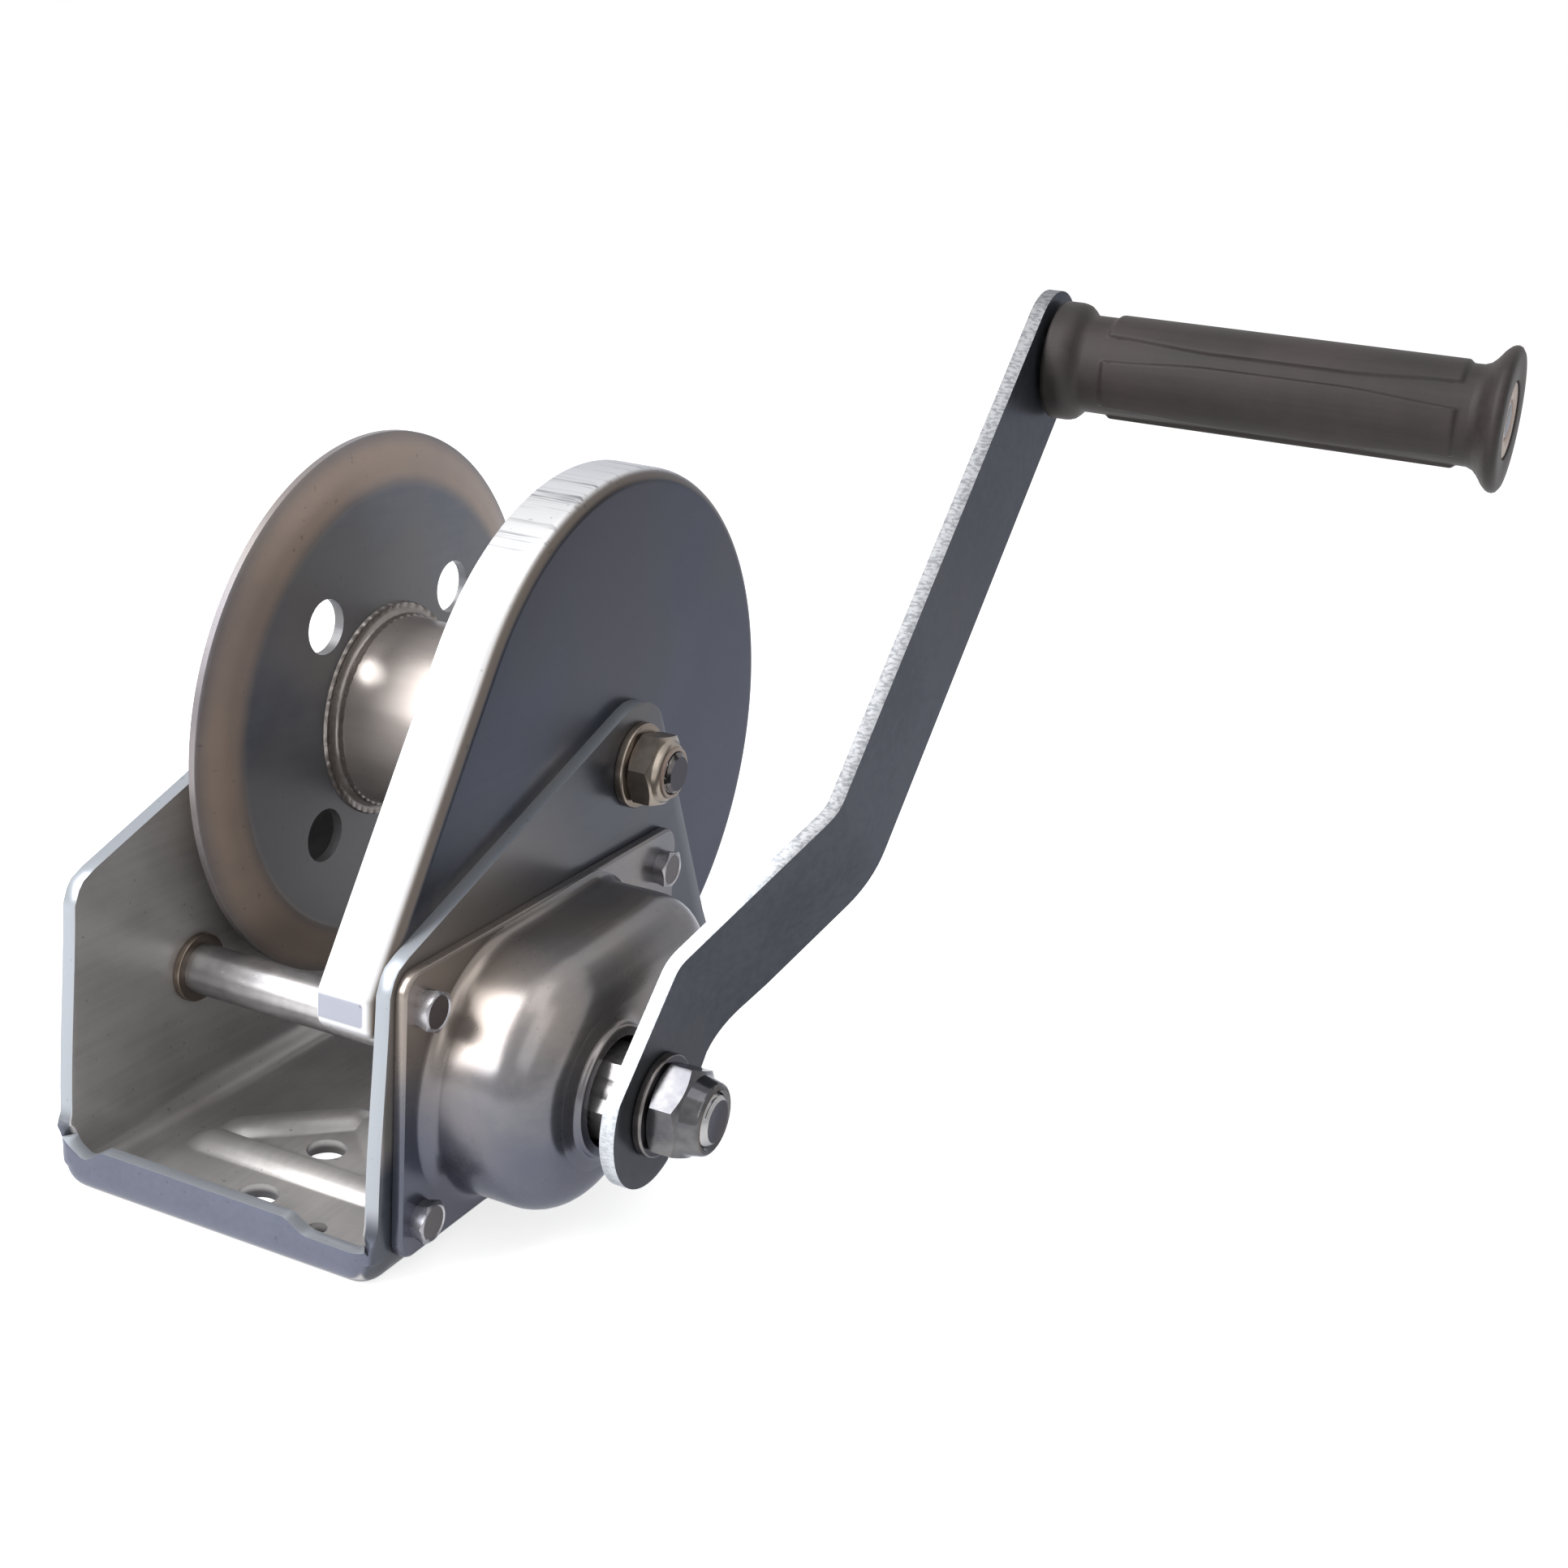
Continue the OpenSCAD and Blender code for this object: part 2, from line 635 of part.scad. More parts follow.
module drum_sleeve() {
    color(steel) at_drum() washer(-wall_in, wall_in - cover_t, sleeve_d / 2, bolt_d / 2 + bolt_slack);
}

// Left flange: flat disc, flared rim, four holes
module drum_flange() {
    r0 = flare_d / 2;
    r1 = flange_d / 2;
    run = r1 - r0;
    steps = 6;
    flare_at = function (i) [flange_x1 - flare * pow(i / steps, 1.5), r0 + run * i / steps];
    color(zinc) at_drum() difference() {
        turned(concat(
            [[flange_x0, 0], [flange_x1, 0]],
            [for (i = [0 : steps]) flare_at(i)],
            [for (i = [steps : -1 : 0]) flare_at(i) - [flange_t, -0.2]]));
        bar(flange_x0 - 1, flange_x1 + 1, drum_bush_r);
        for (i = [0 : flange_holes - 1])
            rotate([45 + i * 360 / flange_holes, 0, 0])
                bar(flange_x0 - 1, flange_x1 + 1, flange_hole_d / 2, flange_hole_pcd / 2);
    }
}

// Barrel tube with its two weld beads
module drum_barrel() {
    r = barrel_d / 2;
    bead = function (x, s) [[x, r - 0.5], [x, r + weld_leg], [x + s * 0.9, r + weld_leg * 0.92],
        [x + s * weld_leg * 0.5, r + weld_leg * 0.55], [x + s * weld_leg, r]];
    color(bright_zinc) at_drum() difference() {
        union() {
            bar(flange_x1, gear_x0, r);
            turned(concat(bead(flange_x1, 1), [[flange_x1 + weld_leg, r - 0.5]]));
            turned(concat(bead(gear_x0, -1), [[gear_x0 - weld_leg, r - 0.5]]));
        }
        bar(flange_x1 - 1, gear_x0 + 1, r - barrel_wall);
    }
}

module drum_gear() {
    color(steel) at_drum() difference() {
        plate(gear_x0, gear_x1) gear_outline(gear_teeth, -profile_shift, mesh_angle);
        bar(gear_x0 - 1, gear_x1 + 1, drum_bush_r);
        for (i = [0 : flange_holes - 1])
            rotate([45 + i * 360 / flange_holes, 0, 0])
                bar(gear_x0 - 1, gear_x1 + 1, flange_hole_d / 2, flange_hole_pcd / 2);
    }
}

// Bronze bushes pressed into the flange and the gear, with rims towards the walls
module drum_bushes() {
    left = -wall_in + side_gap;
    right = wall_in - cover_t - side_gap;
    color(bronze) at_drum() difference() {
        union() {
            bar(left, flange_x1, drum_bush_r);
            bar(left, flange_x0, drum_bush_r + drum_bush_rim);
            bar(gear_x0, right, drum_bush_r);
            bar(gear_x1, right, drum_bush_r + drum_bush_rim);
        }
        bar(-frame_w, frame_w, sleeve_d / 2 + running);
    }
}

// Drive shaft, stepped, with a groove for the clip on its left end
clip_x = -wall_out - side_gap;
clip_t = 1.2;
groove_r = shaft_d / 2 - 1;
module drive_shaft() {
    left = clip_x - clip_t - 2.5;
    step = gear_x0 - 6;
    tip = wall_out + shaft_out;
    color(bright_zinc) at_crank() turned([[left, 0], [left, shaft_d / 2 - 0.8], [left + 0.8, shaft_d / 2],
        [clip_x - clip_t, shaft_d / 2], [clip_x - clip_t, groove_r], [clip_x, groove_r],
        [clip_x, shaft_d / 2],
        [step, shaft_d / 2], [step + 1, brake_shaft_d / 2], [stud_x0 - 1, brake_shaft_d / 2],
        [stud_x0, stud_d / 2], [tip - 1.4, stud_d / 2], [tip, stud_d / 2 - 1.4], [tip, 0]]);
}
module shaft_clip() {
    color(steel) at_crank() difference() {
        bar(clip_x - clip_t, clip_x, shaft_d / 2 + 3.2);
        bar(clip_x - clip_t - 1, clip_x + 1, groove_r);
        translate([clip_x - clip_t - 1, -groove_r * 0.75, -shaft_d])
            cube([clip_t + 2, groove_r * 1.5, shaft_d]);
    }
}
module pinion() {
    color(steel) at_crank() difference() {
        plate(gear_x0 - 1, gear_x1 + 2)
            gear_outline(pinion_teeth, profile_shift, mesh_angle + 180 + 180 / pinion_teeth);
        bar(gear_x0 - 2, gear_x1 + 3, brake_shaft_d / 2);
    }
}

// Brake: clamping flange on the shaft, two discs, ratchet wheel between them
module brake_flange() {
    color(steel) at_crank() difference() {
        union() {
            bar(brake_x0, disc_x0, brake_d / 2);
            bar(disc_x0 - eps, disc_x1 + disc_t, brake_boss_r);
        }
        bar(brake_x0 - 1, hub_x0, brake_shaft_d / 2);
    }
}
module friction_discs() {
    color(lining) at_crank() for (x = [disc_x0, disc_x1])
        washer(x, x + disc_t, brake_d / 2, brake_boss_r);
}
module ratchet_wheel() {
    tip_r = ratchet_d / 2;
    root_r = tip_r - tooth_depth;
    pitch = 360 / ratchet_teeth;
    // each tooth: foot of the radial locking face, end of the valley, long back, tip
    tooth = [[root_r, 0], [root_r, 0.3 * pitch], [tip_r, 0.93 * pitch], [tip_r, pitch]];
    color(steel) at_crank() difference() {
        plate(ratchet_x0, ratchet_x0 + ratchet_t)
            polygon([for (t = [0 : ratchet_teeth - 1], p = tooth)
                polar(p[0], valley_angle + t * pitch + p[1])]);
        bar(ratchet_x0 - 1, ratchet_x0 + ratchet_t + 1, brake_boss_r + running);
    }
}
module pawl() {
    back = polar(nose_at_r + 4, nose_angle + 4);
    throat = polar(nose_at_r + 4, nose_angle + 3);
    color(steel) at_crank() difference() {
        plate(pawl_x0, pawl_x0 + pawl_t) {
            difference() {
                belt([[back[0], back[1], 2.4], [pawl_at[0], pawl_at[1], pawl_boss_r]]);
                circle(r = ratchet_d / 2 + side_gap);
            }
            belt([[nose_at[0], nose_at[1], nose_r], [throat[0], throat[1], nose_r + 0.3]]);
        }
        bar(pawl_x0 - 1, pawl_x0 + pawl_t + 1, pawl_pin_d / 2 + running, pawl_at[0], pawl_at[1]);
    }
}

// Pawl pin riveted in the right wall, its clip, and the coil spring round it
pin_end = pawl_x0 + pawl_t + side_gap + clip_t + 1.6;
module pawl_pin() {
    r = pawl_pin_d / 2;
    clip0 = pawl_x0 + pawl_t + side_gap;
    color(bright_zinc) at_crank() translate([0, pawl_at[0], pawl_at[1]]) {
        turned([[wall_in + 0.2, 0], [wall_in + 0.2, r], [clip0, r], [clip0, r - 0.8],
            [clip0 + clip_t, r - 0.8], [clip0 + clip_t, r], [pin_end - 0.6, r], [pin_end, r - 0.6],
            [pin_end, 0]]);
        washer(wall_out, wall_out + 1.5, r + 2, r - 0.5);
    }
}
module pawl_clip() {
    r = pawl_pin_d / 2;
    x0 = pawl_x0 + pawl_t + side_gap;
    color(steel) at_crank() translate([0, pawl_at[0], pawl_at[1]]) difference() {
        bar(x0, x0 + clip_t, r + 2.2);
        bar(x0 - 1, x0 + clip_t + 1, r - 0.8);
        translate([x0 - 1, 0, -(r - 0.8) * 0.7]) cube([clip_t + 2, 2 * r, (r - 0.8) * 1.4]);
    }
}

// Coil spring as one swept wire
spring_wire = 1.1;
spring_turns = 2.5;
module pawl_spring() {
    r = pawl_pin_d / 2 + 2.6;
    x0 = wall_out + 1.5 + spring_wire;
    x1 = pawl_x0 - side_gap - spring_wire * 0.6;
    steps = 30;
    sides = 6;
    at = [for (i = [0 : steps]) let (a = 360 * spring_turns * i / steps)
        [x0 + (x1 - x0) * i / steps, r * cos(a), r * sin(a), a]];
    ring = [for (p = at, k = [0 : sides - 1]) let (w = spring_wire / 2, b = 360 * k / sides)
        [p[0] + w * sin(b), p[1] + w * cos(b) * cos(p[3]), p[2] + w * cos(b) * sin(p[3])]];
    faces = concat(
        [[for (k = [0 : sides - 1]) k]],
        [for (i = [0 : steps - 1], k = [0 : sides - 1]) let (n = (k + 1) % sides)
            [i * sides + k, (i + 1) * sides + k, (i + 1) * sides + n, i * sides + n]],
        [[for (k = [sides - 1 : -1 : 0]) steps * sides + k]]);
    color(bright_zinc) at_crank() translate([0, pawl_at[0], pawl_at[1]]) polyhedron(ring, faces);
}

// Crank: threaded hub with clamping flange, hexagon and tenon for the arm
module crank_hub() {
    hub_r = hub_af / 2;
    hex_x0 = dome_top - 2;
    color(steel) at_crank() difference() {
        union() {
            bar(hub_x0, hub_x0 + hub_flange_t, brake_d / 2);
            bar(hub_x0 + hub_flange_t - eps, hex_x0 + eps, hub_r);
            hex_bar(hex_x0, arm_x0, hub_af);
            tenon(arm_x0 - eps, arm_x1 - 0.2, 0);
        }
        bar(hub_x0 - 1, stud_x0 + side_gap, brake_shaft_d / 2 + running);
        bar(stud_x0, arm_x1 + 1, stud_d / 2 + running);
    }
}
module tenon(x0, x1, slack) {
    rotate([crank_angle, 0, 0]) intersection() {
        bar(x0, x1, tenon_r + slack);
        translate([x0, -tenon_r * 2, -tenon_flat - slack])
            cube([x1 - x0, tenon_r * 4, 2 * (tenon_flat + slack)]);
    }
}

// Cranked flat bar. The path holds [x, y, heading] along the middle of the bar.
module crank_arm() {
    steps = 6;
    half = arm_t / 2;
    r = arm_bend_r;
    xa = arm_x0 + half;
    xb = xa + arm_step;
    slope = 2 * atan2(arm_step, bend_run + sqrt(pow(bend_run, 2) + pow(arm_step, 2)));
    lead = r * tan(slope / 2);
    y1 = bend_start - lead;
    y2 = bend_start + bend_run + lead;
    end_r = arm_w / 2;
    path = concat([[xa, -end_r - 1, 0]],
        [for (i = [0 : steps]) let (a = slope * i / steps) [xa + r * (1 - cos(a)), y1 + r * sin(a), a]],
        [for (i = [steps : -1 : 0]) let (a = slope * i / steps) [xb - r * (1 - cos(a)), y2 - r * sin(a), a]],
        [[xb, crank_len + end_r + 1, 0]]);
    count = len(path) - 1;
    side = function (p, s) [p[0] + s * cos(p[2]), p[1] - s * sin(p[2])];
    color(bright_zinc) at_crank() difference() {
        rotate([crank_angle, 0, 0]) intersection() {
            translate([0, 0, -end_r]) linear_extrude(arm_w) polygon(concat(
                [for (i = [0 : count]) side(path[i], half)],
                [for (i = [count : -1 : 0]) side(path[i], -half)]));
            plate(arm_x0 - 1, arm_far + 1) belt([[crank_len, 0, end_r], [0, 0, end_r]]);
        }
        tenon(arm_x0 - 1, arm_x1 + 1, 0.1);
        translate([0, grip_y, grip_z]) bar(arm_far - arm_t - 1, arm_far + 1, spindle_d / 2 - 1);
    }
}
// Washer and nut on the shaft end: they keep the crank from running off the thread
washer_x0 = arm_x1 + side_gap;
nut_x0 = washer_x0 + washer_t;
module crank_washer() {
    color(bright_zinc) at_crank() washer(washer_x0, nut_x0, stud_d * 0.95, stud_d / 2 + bolt_slack);
}
module crank_nut() { color(bright_zinc) at_crank() hex_nut(nut_x0, stud_d, stud_d + 8); }
module crank_nut_insert() { color(nylon) at_crank() nut_insert(nut_x0, stud_d); }

// Grip spindle: rivet head behind the arm, shoulder, and a riveted end over the washer
module grip_spindle() {
    r = spindle_d / 2;
    back = arm_far - arm_t;
    seat = grip_x1 - grip_recess + side_gap;
    color(steel) at_grip() turned([[back - 2.5, 0], [back - 2.5, r - 1.5], [back - 1.8, r], [back, r + 1.5],
        [back, r - 1], [arm_far, r - 1], [arm_far, r + 2.5], [arm_far + 1.2, r + 2.5], [arm_far + 1.2, r],
        [seat, r], [seat, r - 2], [seat + 1.2, r - 2], [seat + 1.2, r - 0.8], [seat + 2, r - 1.6],
        [seat + 2.2, r - 3], [seat + 2.2, 0]]);
}
module grip_washer() {
    x0 = grip_x1 - grip_recess + side_gap;
    color(nylon) at_grip() washer(x0, x0 + 1.2, grip_recess_r - 0.5, spindle_d / 2 - 2);
}

// Grip: turned body with two flanges, raised panels between lengthwise grooves
module grip() {
    body_r = grip_d / 2 - groove_depth;
    inner_r = grip_inner_d / 2;
    end_r = grip_end_d / 2;
    panel_x0 = grip_x0 + 17;
    panel_x1 = grip_x1 - 12.5;
    length = panel_x1 - panel_x0;
    color(rubber) at_grip() difference() {
        union() {
            turned([[grip_x0, 0], [grip_x0, inner_r - 1], [grip_x0 + 1, inner_r], [grip_x0 + 5, inner_r],
                [grip_x0 + 7, inner_r - 0.8], [grip_x0 + 8.3, body_r + 0.6], [grip_x0 + 9.4, body_r],
                [grip_x1 - 8, body_r], [grip_x1 - 6, body_r + 1.2], [grip_x1 - 4.2, end_r - 2.2],
                [grip_x1 - 3.2, end_r - 0.5], [grip_x1 - 2, end_r], [grip_x1 - 0.8, end_r - 0.4],
                [grip_x1, end_r - 1.5], [grip_x1, 0]]);
            difference() {
                turned([[panel_x0 - 1.5, 0], [panel_x0 - 1.5, body_r - 0.2], [panel_x0, grip_d / 2 - 0.1],
                    [panel_x0 + 1, grip_d / 2], [panel_x1 - 1, grip_d / 2], [panel_x1, grip_d / 2 - 0.1],
                    [panel_x1 + 1, body_r - 0.2], [panel_x1 + 1, 0]]);
                for (i = [0 : grip_grooves - 1])
                    rotate([152 + i * 360 / grip_grooves, 0, 0]) translate([0, body_r, 0])
                        rotate([-90, 0, 0]) linear_extrude(groove_depth * 3) polygon([
                            [panel_x0 - 3, -3.2], [panel_x0 + length * 0.35, -2.2],
                            [panel_x0 + length * 0.65, -2.2],
                            [panel_x1 + 3, -3.2], [panel_x1 + 3, 3.2], [panel_x0 + length * 0.65, 2.2],
                            [panel_x0 + length * 0.35, 2.2], [panel_x0 - 3, 3.2]]);
            }
        }
        bar(grip_x0 - 1, grip_x1 + 1, spindle_d / 2 + running);
        bar(grip_x1 - grip_recess, grip_x1 + 1, grip_recess_r);
    }
}

frame();
gear_cover();
brake_cover();
cover_screws();
shaft_bush_left();
shaft_bush_right();
drum_bolt();
drum_bolt_washers();
drum_nut();
drum_nut_insert();
drum_sleeve();
drum_flange();
drum_barrel();
drum_gear();
drum_bushes();
drive_shaft();
pinion();
shaft_clip();
brake_flange();
friction_discs();
ratchet_wheel();
pawl();
pawl_pin();
pawl_clip();
pawl_spring();
crank_hub();
crank_arm();
crank_washer();
crank_nut();
crank_nut_insert();
grip_spindle();
grip();
grip_washer();
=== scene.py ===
import json
import math

import bmesh
import bpy
from mathutils import Matrix, Vector, noise


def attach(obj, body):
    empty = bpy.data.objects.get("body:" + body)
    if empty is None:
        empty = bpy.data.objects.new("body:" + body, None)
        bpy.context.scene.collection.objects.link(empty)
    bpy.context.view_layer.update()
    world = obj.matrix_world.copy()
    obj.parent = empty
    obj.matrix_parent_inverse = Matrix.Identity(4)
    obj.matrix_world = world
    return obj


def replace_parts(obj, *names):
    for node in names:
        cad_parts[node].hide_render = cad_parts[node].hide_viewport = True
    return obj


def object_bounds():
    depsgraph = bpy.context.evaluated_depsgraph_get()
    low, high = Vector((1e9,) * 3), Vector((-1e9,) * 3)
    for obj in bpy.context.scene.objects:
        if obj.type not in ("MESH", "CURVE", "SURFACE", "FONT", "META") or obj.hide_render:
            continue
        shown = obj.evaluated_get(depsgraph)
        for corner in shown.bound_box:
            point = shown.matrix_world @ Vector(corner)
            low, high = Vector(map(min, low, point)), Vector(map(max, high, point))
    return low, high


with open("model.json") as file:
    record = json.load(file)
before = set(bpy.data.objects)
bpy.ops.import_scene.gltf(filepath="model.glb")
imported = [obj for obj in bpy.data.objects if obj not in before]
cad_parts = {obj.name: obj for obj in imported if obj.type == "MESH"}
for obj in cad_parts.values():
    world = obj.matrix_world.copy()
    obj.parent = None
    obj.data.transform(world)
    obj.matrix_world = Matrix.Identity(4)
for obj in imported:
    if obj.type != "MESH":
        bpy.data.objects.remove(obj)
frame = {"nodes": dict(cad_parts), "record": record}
cad_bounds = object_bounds()
mm = 0.001

# Camera: a long lens low in front of the winch and to its crank side, rolled a little.
eye = Vector((325.82, -506.34, 299.17)) * mm
azimuth, elevation, roll = (math.radians(a) for a in (24.5, 18.78, 4.45))
camera = bpy.data.objects.new("camera", bpy.data.cameras.new("camera"))
camera.data.sensor_width = 36
camera.data.lens = 50.62
camera.data.clip_start = 0.01
bpy.context.scene.collection.objects.link(camera)
bpy.context.scene.camera = camera
look = Matrix.Rotation(azimuth, 4, "Z") @ Matrix.Rotation(math.pi / 2 - elevation, 4, "X")
camera.matrix_world = Matrix.Translation(eye) @ look @ Matrix.Rotation(roll, 4, "Z")


# Studio floor: a wide white sweep that keeps the soft shadow of the winch.
# Its shader is the first one, so the wire that writes shader sums is made here.
class Wire:
    """One socket of a material. Sums of wires add their own Math nodes."""

    def __init__(self, tree, socket=None):
        self.tree = tree
        self.socket = socket

    def node(self, kind, settings=None, inputs=None, output=0):
        """A new node's output. The settings are set first, then the values or links of the sockets."""
        made = self.tree.nodes.new(kind)
        for key, value in (settings or {}).items():
            setattr(made, key, value)
        for key, value in (inputs or {}).items():
            if isinstance(value, Wire):
                self.tree.links.new(value.socket, made.inputs[key])
            else:
                made.inputs[key].default_value = value
        return Wire(self.tree, made.outputs[output])

    def math(self, operation, first, second=0.0):
        return self.node("ShaderNodeMath", {"operation": operation}, {0: first, 1: second})

    def __add__(self, other):
        return self.math("ADD", self, other)

    __radd__ = __add__

    def __sub__(self, other):
        return self.math("SUBTRACT", self, other)

    def __rsub__(self, other):
        return self.math("SUBTRACT", other, self)

    def __mul__(self, other):
        return self.math("MULTIPLY", self, other)

    __rmul__ = __mul__

    def __abs__(self):
        return self.math("ABSOLUTE", self)

    def between(self, low, high):
        """0 below low, 1 above high, smooth in between; the other way round where high is the smaller."""
        settings = {"interpolation_type": "SMOOTHSTEP"}
        return self.node("ShaderNodeMapRange", settings, {0: self, 1: low, 2: high})

    def blend(self, colour, other):
        """The first colour where the wire is 0, the other where it is 1."""
        sockets = {0: self}
        for place, value in ((6, colour), (7, other)):
            sockets[place] = value if isinstance(value, Wire) else (*value, 1)
        return self.node("ShaderNodeMix", {"data_type": "RGBA"}, sockets, 2)

    def stretched(self, x, y, z):
        return self.node("ShaderNodeVectorMath", {"operation": "MULTIPLY"}, {0: self, 1: (x, y, z)})

    def shifted(self, x, y, z):
        return self.node("ShaderNodeVectorMath", {"operation": "ADD"}, {0: self, 1: (x, y, z)})

    def length(self):
        return self.node("ShaderNodeVectorMath", {"operation": "LENGTH"}, {0: self}, 1)

    def noise(self, scale, detail, rough):
        inputs = {"Vector": self, "Scale": scale, "Detail": detail, "Roughness": rough}
        return self.node("ShaderNodeTexNoise", {}, inputs)

    def axis(self, number):
        """One of the three numbers of a place."""
        return self.node("ShaderNodeSeparateXYZ", {}, {0: self}, number)

    def normal(self):
        """The direction in which the surface faces."""
        return self.node("ShaderNodeNewGeometry", output="Normal")

    def bump(self, strength, distance):
        return self.node("ShaderNodeBump", {}, {"Strength": strength, "Distance": distance, "Height": self})


def new_material(name):
    """A material with one Principled shader, its object coordinates and a setter for the shader's sockets."""
    made = bpy.data.materials.new(name)
    made.use_nodes = True
    tree = made.node_tree
    shader = tree.nodes["Principled BSDF"]
    place = Wire(tree).node("ShaderNodeTexCoord", output="Object")

    def put(**sockets):
        for key, value in sockets.items():
            socket = shader.inputs[key.replace("_", " ")]
            if isinstance(value, Wire):
                tree.links.new(value.socket, socket)
            elif isinstance(value, tuple):
                socket.default_value = (*value, 1)
            else:
                socket.default_value = value

    return made, place, put


def shown_to(tree, *rays):
    """1 for the rays that see a surface in these ways, 0 for those that it only lights."""
    seen = Wire(tree).node("ShaderNodeLightPath", output=rays[0])
    for ray in rays[1:]:
        seen = seen.math("MAXIMUM", seen, seen.node("ShaderNodeLightPath", output=ray))
    return seen


floor_glow = 0.74
floor_paint, place, put = new_material("studio_floor")
put(Base_Color=(0.8, 0.8, 0.8), Roughness=1.0, Specular_IOR_Level=0.0, Emission_Color=(1, 1, 1),
    Emission_Strength=shown_to(place.tree, "Is Camera Ray", "Is Glossy Ray") * floor_glow)
low, high = cad_bounds
bpy.ops.mesh.primitive_plane_add(size=40, location=(0, 0, low.z))
floor = bpy.context.object
floor.name = "studio_floor"
floor.data.materials.append(floor_paint)

# Studio light: a white surround that the camera and shiny metal see, a bright soft box high in front and to
# the left, which gives the white bands on the zinc, and weak ones on the right and above.
world = bpy.data.worlds.new("studio")
bpy.context.scene.world = world
world.use_nodes = True
backdrop = world.node_tree.nodes["Background"]
backdrop.inputs["Color"].default_value = (1, 1, 1, 1)
ambient = 0.35
seen = shown_to(world.node_tree, "Is Camera Ray", "Is Glossy Ray", "Is Transmission Ray")
world.node_tree.links.new((seen * (1 - ambient) + ambient).socket, backdrop.inputs["Strength"])
bpy.context.scene.view_settings.view_transform = "Standard"
centre = (low + high) / 2
lamp_distance = 1.3


def soft_box(name, side, up, lean, width, height, watts):
    """A lamp that faces the middle of the winch, some degrees to a side and up, and turned in its plane."""
    lamp = bpy.data.lights.new(name, "AREA")
    lamp.shape = "RECTANGLE"
    lamp.size = width
    lamp.size_y = height
    lamp.energy = watts
    made = bpy.data.objects.new(name, lamp)
    bpy.context.scene.collection.objects.link(made)
    turn = Matrix.Rotation(math.radians(side), 4, "Z") @ Matrix.Rotation(math.radians(90 - up), 4, "X")
    away = Matrix.Translation((0, 0, lamp_distance)) @ Matrix.Rotation(math.radians(lean), 4, "Z")
    made.matrix_world = Matrix.Translation(centre) @ turn @ away


soft_box("left_box", -40, 38, 32, 0.46, 1.5, 26)
soft_box("right_box", 44, 42, -32, 0.7, 1.3, 4)
soft_box("top_box", 20, 82, 0, 0.7, 0.7, 3)


# Frame: one blank of 4 mm zinc-plated steel sheet, pressed into a U with an upturned front lip.
# The walls carry the drum bolt and the shaft bushes, and the floor has pressed ribs and bolt holes.
def times(colour, factor):
    """A colour made lighter or darker."""
    return tuple(channel * factor for channel in colour)


def zinc(name, dark, light, warm, rough, grain_along=(1, 0.05, 1), metal=0.65, zones=()):
    """Zinc plate: clouded tone, warm patches, faint rolling streaks, satin grain and small specks.

    A zone is a rule that lays a tone of its own over the plate's, from the place, the clouds and the tone.
    """
    made, place, put = new_material(name)
    cloud = place.noise(24, 4, 0.55)
    patch = place.shifted(0.3, 0.1, 0.2).noise(13, 2, 0.5).between(0.44, 0.64)
    streak = place.stretched(*grain_along).noise(480, 2, 0.6)
    grain = place.noise(1900, 2, 0.6)
    speck = place.noise(560, 1, 0.4).between(0.73, 0.78)
    tone = (cloud * 0.75 + streak * 0.25).between(0.34, 0.66)
    base = (patch * 0.75).blend(tone.blend(dark, light), warm)
    for zone in zones:
        base = zone(base, place, cloud, tone)
    base = (speck * 0.3).blend(base, times(dark, 0.5))
    put(Base_Color=base, Metallic=metal, Specular_Tint=(0.32, 0.35, 0.45), Coat_Weight=0.25,
        Coat_Roughness=0.22,
        Roughness=cloud * 0.16 + streak * 0.06 + patch * 0.06 + (rough - 0.14),
        Normal=(grain * 0.25 + streak * 0.06 + cloud * 1.5).bump(0.035, 0.0004))
    return made


def painted_low_lighting(colour, height, fade, slant=0.0, start=-20, end=20):
    """A tone of painted light outside the right wall up to a height, which may slant, above a start and in
    front of an end.
    """
    def zone(base, place, cloud, tone):
        across, along, up = (place.axis(k) * (1 / mm) for k in (0, 1, 2))
        near = (up - along * slant + cloud * 20).between(height + fade, height)
        near = near * along.between(end + 30, end) * up.between(start, start + 10)
        near = near * across.between(wall_in - 1, wall_in - 0.5)
        return (near * 0.85).blend(base, colour)

    return zone


def segment_distance(point, a, b):
    """How far a point is from the line between two others."""
    along = b - a
    t = max(0.0, min(1.0, (point - a).dot(along) / along.length_squared))
    return (point - a - along * t).length


def ease(value, low, high):
    """0 below low, 1 above high, smooth in between."""
    t = max(0.0, min(1.0, (value - low) / (high - low)))
    return t * t * (3 - 2 * t)


def along_line(points, at):
    """The height at one place of a line through [place, height] points."""
    for (a, low), (b, high) in zip(points, points[1:]):
        if at <= b:
            return low + (high - low) * max(0.0, min(1.0, (at - a) / (b - a)))
    return points[-1][1]


def make_piece(name, bm, body, material, sharp=35):
    """A named object from mesh code, with its hard edges kept, which rides on a body."""
    made = bpy.data.objects.new(name, bpy.data.meshes.new(name))
    bpy.context.scene.collection.objects.link(made)
    bmesh.ops.remove_doubles(bm, verts=bm.verts, dist=1e-6)
    bmesh.ops.recalc_face_normals(bm, faces=bm.faces)
    for face in bm.faces:
        face.smooth = True
    bm.to_mesh(made.data)
    bm.free()
    made.data.set_sharp_from_angle(angle=math.radians(sharp))
    made.data.materials.append(material)
    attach(made, body)
    return made


def keep_flats_flat(piece):
    """Weights the normals of a piece by its faces, so that flat faces shade flat."""
    smooth = piece.modifiers.new("keep_flats_flat", "WEIGHTED_NORMAL")
    smooth.keep_sharp = True


